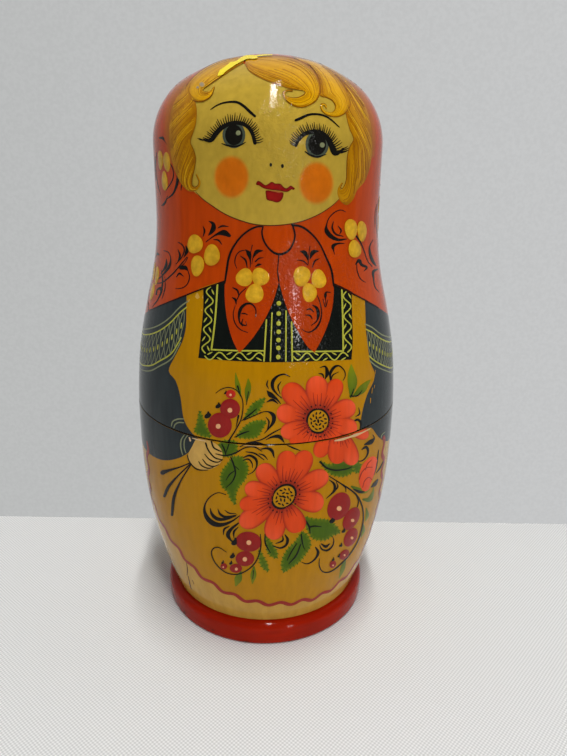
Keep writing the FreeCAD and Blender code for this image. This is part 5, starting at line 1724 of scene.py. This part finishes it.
def painted(name, own=None, streak=0.16, stretch=None, grain=0.0):
    """Lacquered brush paint. own is its colour, or None where the piece carries its own in PAINT."""
    n = Nodes(name)
    base = n.add("ShaderNodeAttribute", attribute_name=PAINT).outputs["Color"] if own is None else own
    brush = n.mottled("brush marks", grey(1 - streak), LIGHTEST, stretch)
    pool = n.mottled("pools", grey(1 - POOL_SHARE * streak), LIGHTEST)
    tone = n.multiplied(n.multiplied(brush, pool), base)
    if grain:
        tone = n.multiplied(tone, n.mottled("grain", GRAIN_DARK, LIGHTEST), grain)
    n.tint(tone)
    n.set(**LACQUER)
    pimples = n.mottled("pimples", DARKEST, LIGHTEST)
    patch = n.ramp(n.patches(PEBBLED), 0.0, PEBBLED_TO, DARKEST, LIGHTEST)
    pebbles = n.combined("MULTIPLY", n.combined("MULTIPLY", pimples, patch), PIMPLE_HIGH)
    n.bump(n.combined("ADD", pebbles, n.noise(*RIPPLES)), PAINT_RELIEF)
    return n.material


def bare_wood(name):
    """Turned, unpainted lime wood: fine grain up the doll, and the tool's rings."""
    n = Nodes(name)
    pores, years = n.mottled("pores", WOOD_PORES, BARE_WOOD), n.mottled("years", YEARS_DARK, LIGHTEST)
    n.tint(n.multiplied(pores, years, YEARS_SHARE))
    n.set(Roughness=0.62)
    own_space = n.add("ShaderNodeTexCoord").outputs["Object"]
    rings = n.texture("ShaderNodeTexWave", own_space, RINGS, wave_type="RINGS", rings_direction="SPHERICAL")
    n.bump(rings, RING_RELIEF, RING_STRENGTH)
    return n.material


def make_materials():
    """Every material of the dolls, by what it is for."""
    return {
        "kerchief": painted("kerchief_paint", streak=0.13),
        "kerchief_wood": painted("kerchief_red", ORANGE_RED),
        "skirt": painted("skirt_stain", streak=0.1, grain=0.2),
        "skirt_wood": painted("skirt_wood", PALE_SKIRT, 0.1, grain=0.2),
        "apron": painted("apron_paint", streak=0.11, grain=0.07),
        "dress": painted("dress_paint", streak=0.25),
        "face": painted("face_paint", stretch=(1, 1, 0.6)),
        "dabs": painted("dab_paint", streak=0.3, stretch=ALIKE),
        "hair": painted("hair_paint", streak=0.12),
        "flowers": painted("flower_paint", streak=0.14),
        "leaves": painted("leaf_paint", streak=0.22),
        "line_work": painted("line_paint", streak=0.08),
        "foot": painted("foot_red", FOOT_RED, 0.22, (0.15, 0.15, 1.4)),
        "bare_wood": bare_wood("bare_wood"),
        # Painted shade for the seam's bevel: near black, as the joint's shadow
        "seam": painted("seam_painted_shade", SEAM_SHADE, 0.3),
    }


# Studio and camera

WALL_GREY, TABLE_WHITE = colour(195, 196, 196), colour(243, 243, 241)
TABLE_DEEP, TABLE_WIDE, TABLE_SLANT, TABLE_NEAR = 0.054, 3.2, 0.024, -2.0
THREADS, THREAD_TURNS = (("Scale", 262), ("Distortion", 1.2), ("Detail Scale", 0.6)), (0.75, -0.82)
CLOTH_SHADE, WALL_SHADE, SPECKLE = 0.965, 0.95, 0.955
WALL_AWAY, WALL_LOW, WALL_HIGH = 0.16, -0.9, 2.2
# The wall brightens to the right over this width, from one tone to the other
WALL_FADE, WALL_LEFT, WALL_RIGHT = 0.42, (0.94, 0.945, 0.94), (1.08, 1.08, 1.085)
ROOM_TONE, ROOM_STRENGTH = (0.95, 0.97, 1.0), 0.24
# Lamps: name, place, what it points at, width, height and power
LAMPS = [
    ("ceiling_tube", (0.1, -0.3, 2.0), (0.1, -0.25, 0), 0.07, 1.9, 40),
    ("far_window", (1.05, -2.2, 0.62), (0, 0, 0.15), 0.26, 0.36, 13),
]
NEAREST_SEEN = 0.01


def matt(name, tone, rough, slub):
    """A matt cloth or wall with faint unevenness, its threads darker by slub."""
    n = Nodes(name)
    tone = n.mottled("cloth", tuple(CLOTH_SHADE * c for c in tone), tone)
    for turn in THREAD_TURNS:
        thread = n.texture("ShaderNodeTexWave", n.place(turn=turn), THREADS, bands_direction="X")
        tone = n.multiplied(tone, n.ramp(thread, 0.0, 1.0, grey(1 - slub), LIGHTEST))
    n.tint(tone)
    n.set(Roughness=rough, Specular_IOR_Level=0.2)
    return n


def evenly_seen(name, tone):
    """A wall that looks as bright in any light to the camera and in reflections. From behind it is clear."""
    n = matt(name, tone, 0.8, 0.03)
    seen = n.add("ShaderNodeLightPath")
    either = n.combined("MAXIMUM", seen.outputs["Is Camera Ray"], seen.outputs["Is Glossy Ray"])
    broad = n.mottled("wall", tuple(WALL_SHADE * c for c in tone), tone)
    fine = n.mottled("speckle", grey(SPECKLE), LIGHTEST)
    slope = n.texture("ShaderNodeTexGradient", n.place((0.5, 0, 0), scale=grey(1 / WALL_FADE)))
    lit = n.ramp(slope, 0.0, 1.0, WALL_LEFT, WALL_RIGHT)
    glow = n.add("ShaderNodeEmission")
    n.join(n.multiplied(n.multiplied(broad, fine), lit), glow.inputs["Color"])
    front = n.blend(either, n.shader.outputs["BSDF"], glow.outputs["Emission"])
    behind = n.add("ShaderNodeNewGeometry").outputs["Backfacing"]
    clear = n.add("ShaderNodeBsdfTransparent").outputs["BSDF"]
    n.join(n.blend(behind, front, clear), n.tree.nodes["Material Output"].inputs["Surface"])
    return n.material


def flat_sheet(name, corners, material):
    """A flat face of the stage."""
    mesh = bpy.data.meshes.new(name)
    mesh.from_pydata(corners, [], [tuple(range(len(corners)))])
    mesh.materials.append(material)
    sheet = bpy.data.objects.new(name, mesh)
    bpy.context.scene.collection.objects.link(sheet)


def soft_light(name, place, aim, wide, high, power):
    """A lamp with a bright face that points at a place."""
    light = bpy.data.lights.new(name, "AREA")
    light.shape, light.size, light.size_y = "RECTANGLE", wide, high
    light.energy = power
    lamp = bpy.data.objects.new(name, light)
    lamp.location = place
    lamp.rotation_euler = (Vector(aim) - Vector(place)).to_track_quat("-Z", "Y").to_euler()
    bpy.context.scene.collection.objects.link(lamp)


def room_light():
    """Faint light from all sides. Where the camera looks past table and wall, it sees the wall's grey."""
    world = bpy.data.worlds.new("room")
    world.use_nodes = True
    tree = world.node_tree
    around, seen = tree.nodes["Background"], tree.nodes.new("ShaderNodeBackground")
    for background, tone, strength in ((around, ROOM_TONE, ROOM_STRENGTH), (seen, WALL_GREY, 1.0)):
        background.inputs["Color"].default_value = (*tone, 1)
        background.inputs["Strength"].default_value = strength
    blend, path = tree.nodes.new("ShaderNodeMixShader"), tree.nodes.new("ShaderNodeLightPath")
    ends = (path.outputs["Is Camera Ray"], around.outputs[0], seen.outputs[0])
    for output, entry in zip(ends, blend.inputs):
        tree.links.new(output, entry)
    tree.links.new(blend.outputs[0], tree.nodes["World Output"].inputs["Surface"])
    return world


def make_studio():
    """A white table against a pale grey wall, under a ceiling light and a window far behind the camera."""
    half = TABLE_WIDE / 2
    left, right = TABLE_DEEP + TABLE_SLANT * half, TABLE_DEEP - TABLE_SLANT * half
    table = [(-half, TABLE_NEAR, 0), (half, TABLE_NEAR, 0), (half, right, 0), (-half, left, 0)]
    flat_sheet("table", table, matt("table_white", TABLE_WHITE, 0.7, 0.2).material)
    ends = ((-half, WALL_LOW), (half, WALL_LOW), (half, WALL_HIGH), (-half, WALL_HIGH))
    flat_sheet("wall", [(x, WALL_AWAY, z) for x, z in ends], evenly_seen("wall_grey", WALL_GREY))
    for lamp in LAMPS:
        soft_light(*lamp)
    bpy.context.scene.world = room_light()


def make_camera():
    """The photograph's camera."""
    data = bpy.data.cameras.new("camera")
    data.sensor_fit, data.sensor_width = "AUTO", SENSOR
    data.lens = FOCAL_PIXELS / PHOTO_HIGH * SENSOR
    data.clip_start = NEAREST_SEEN
    camera = bpy.data.objects.new("camera", data)
    right, up, forward = camera_axes()
    turn = Matrix((right, up, -forward)).transposed().to_4x4()
    camera.matrix_world = Matrix.Translation(EYE * MM) @ turn
    bpy.context.scene.collection.objects.link(camera)
    bpy.context.scene.camera = camera
    bpy.context.scene.view_settings.view_transform = "Standard"


def main():
    """The ten dolls, then the studio and the camera."""
    materials = make_materials()
    woods = [materials[name] for name in ("kerchief_wood", "bare_wood", "foot", "skirt_wood", "seam")]
    skirt_woods = [materials["skirt_wood"], *woods[1:]]
    paintings = {}
    for number in range(1, DOLLS + 1):
        doll = Doll(number)
        if doll.detail not in paintings:
            paintings[doll.detail] = Painting(doll.detail)
        if doll.solid:
            turn_solid(doll, woods)
        else:
            turn_bottom(doll, skirt_woods)
            turn_top(doll, woods)
        lay_paint(doll, paintings[doll.detail], materials)
    make_studio()
    make_camera()


main()
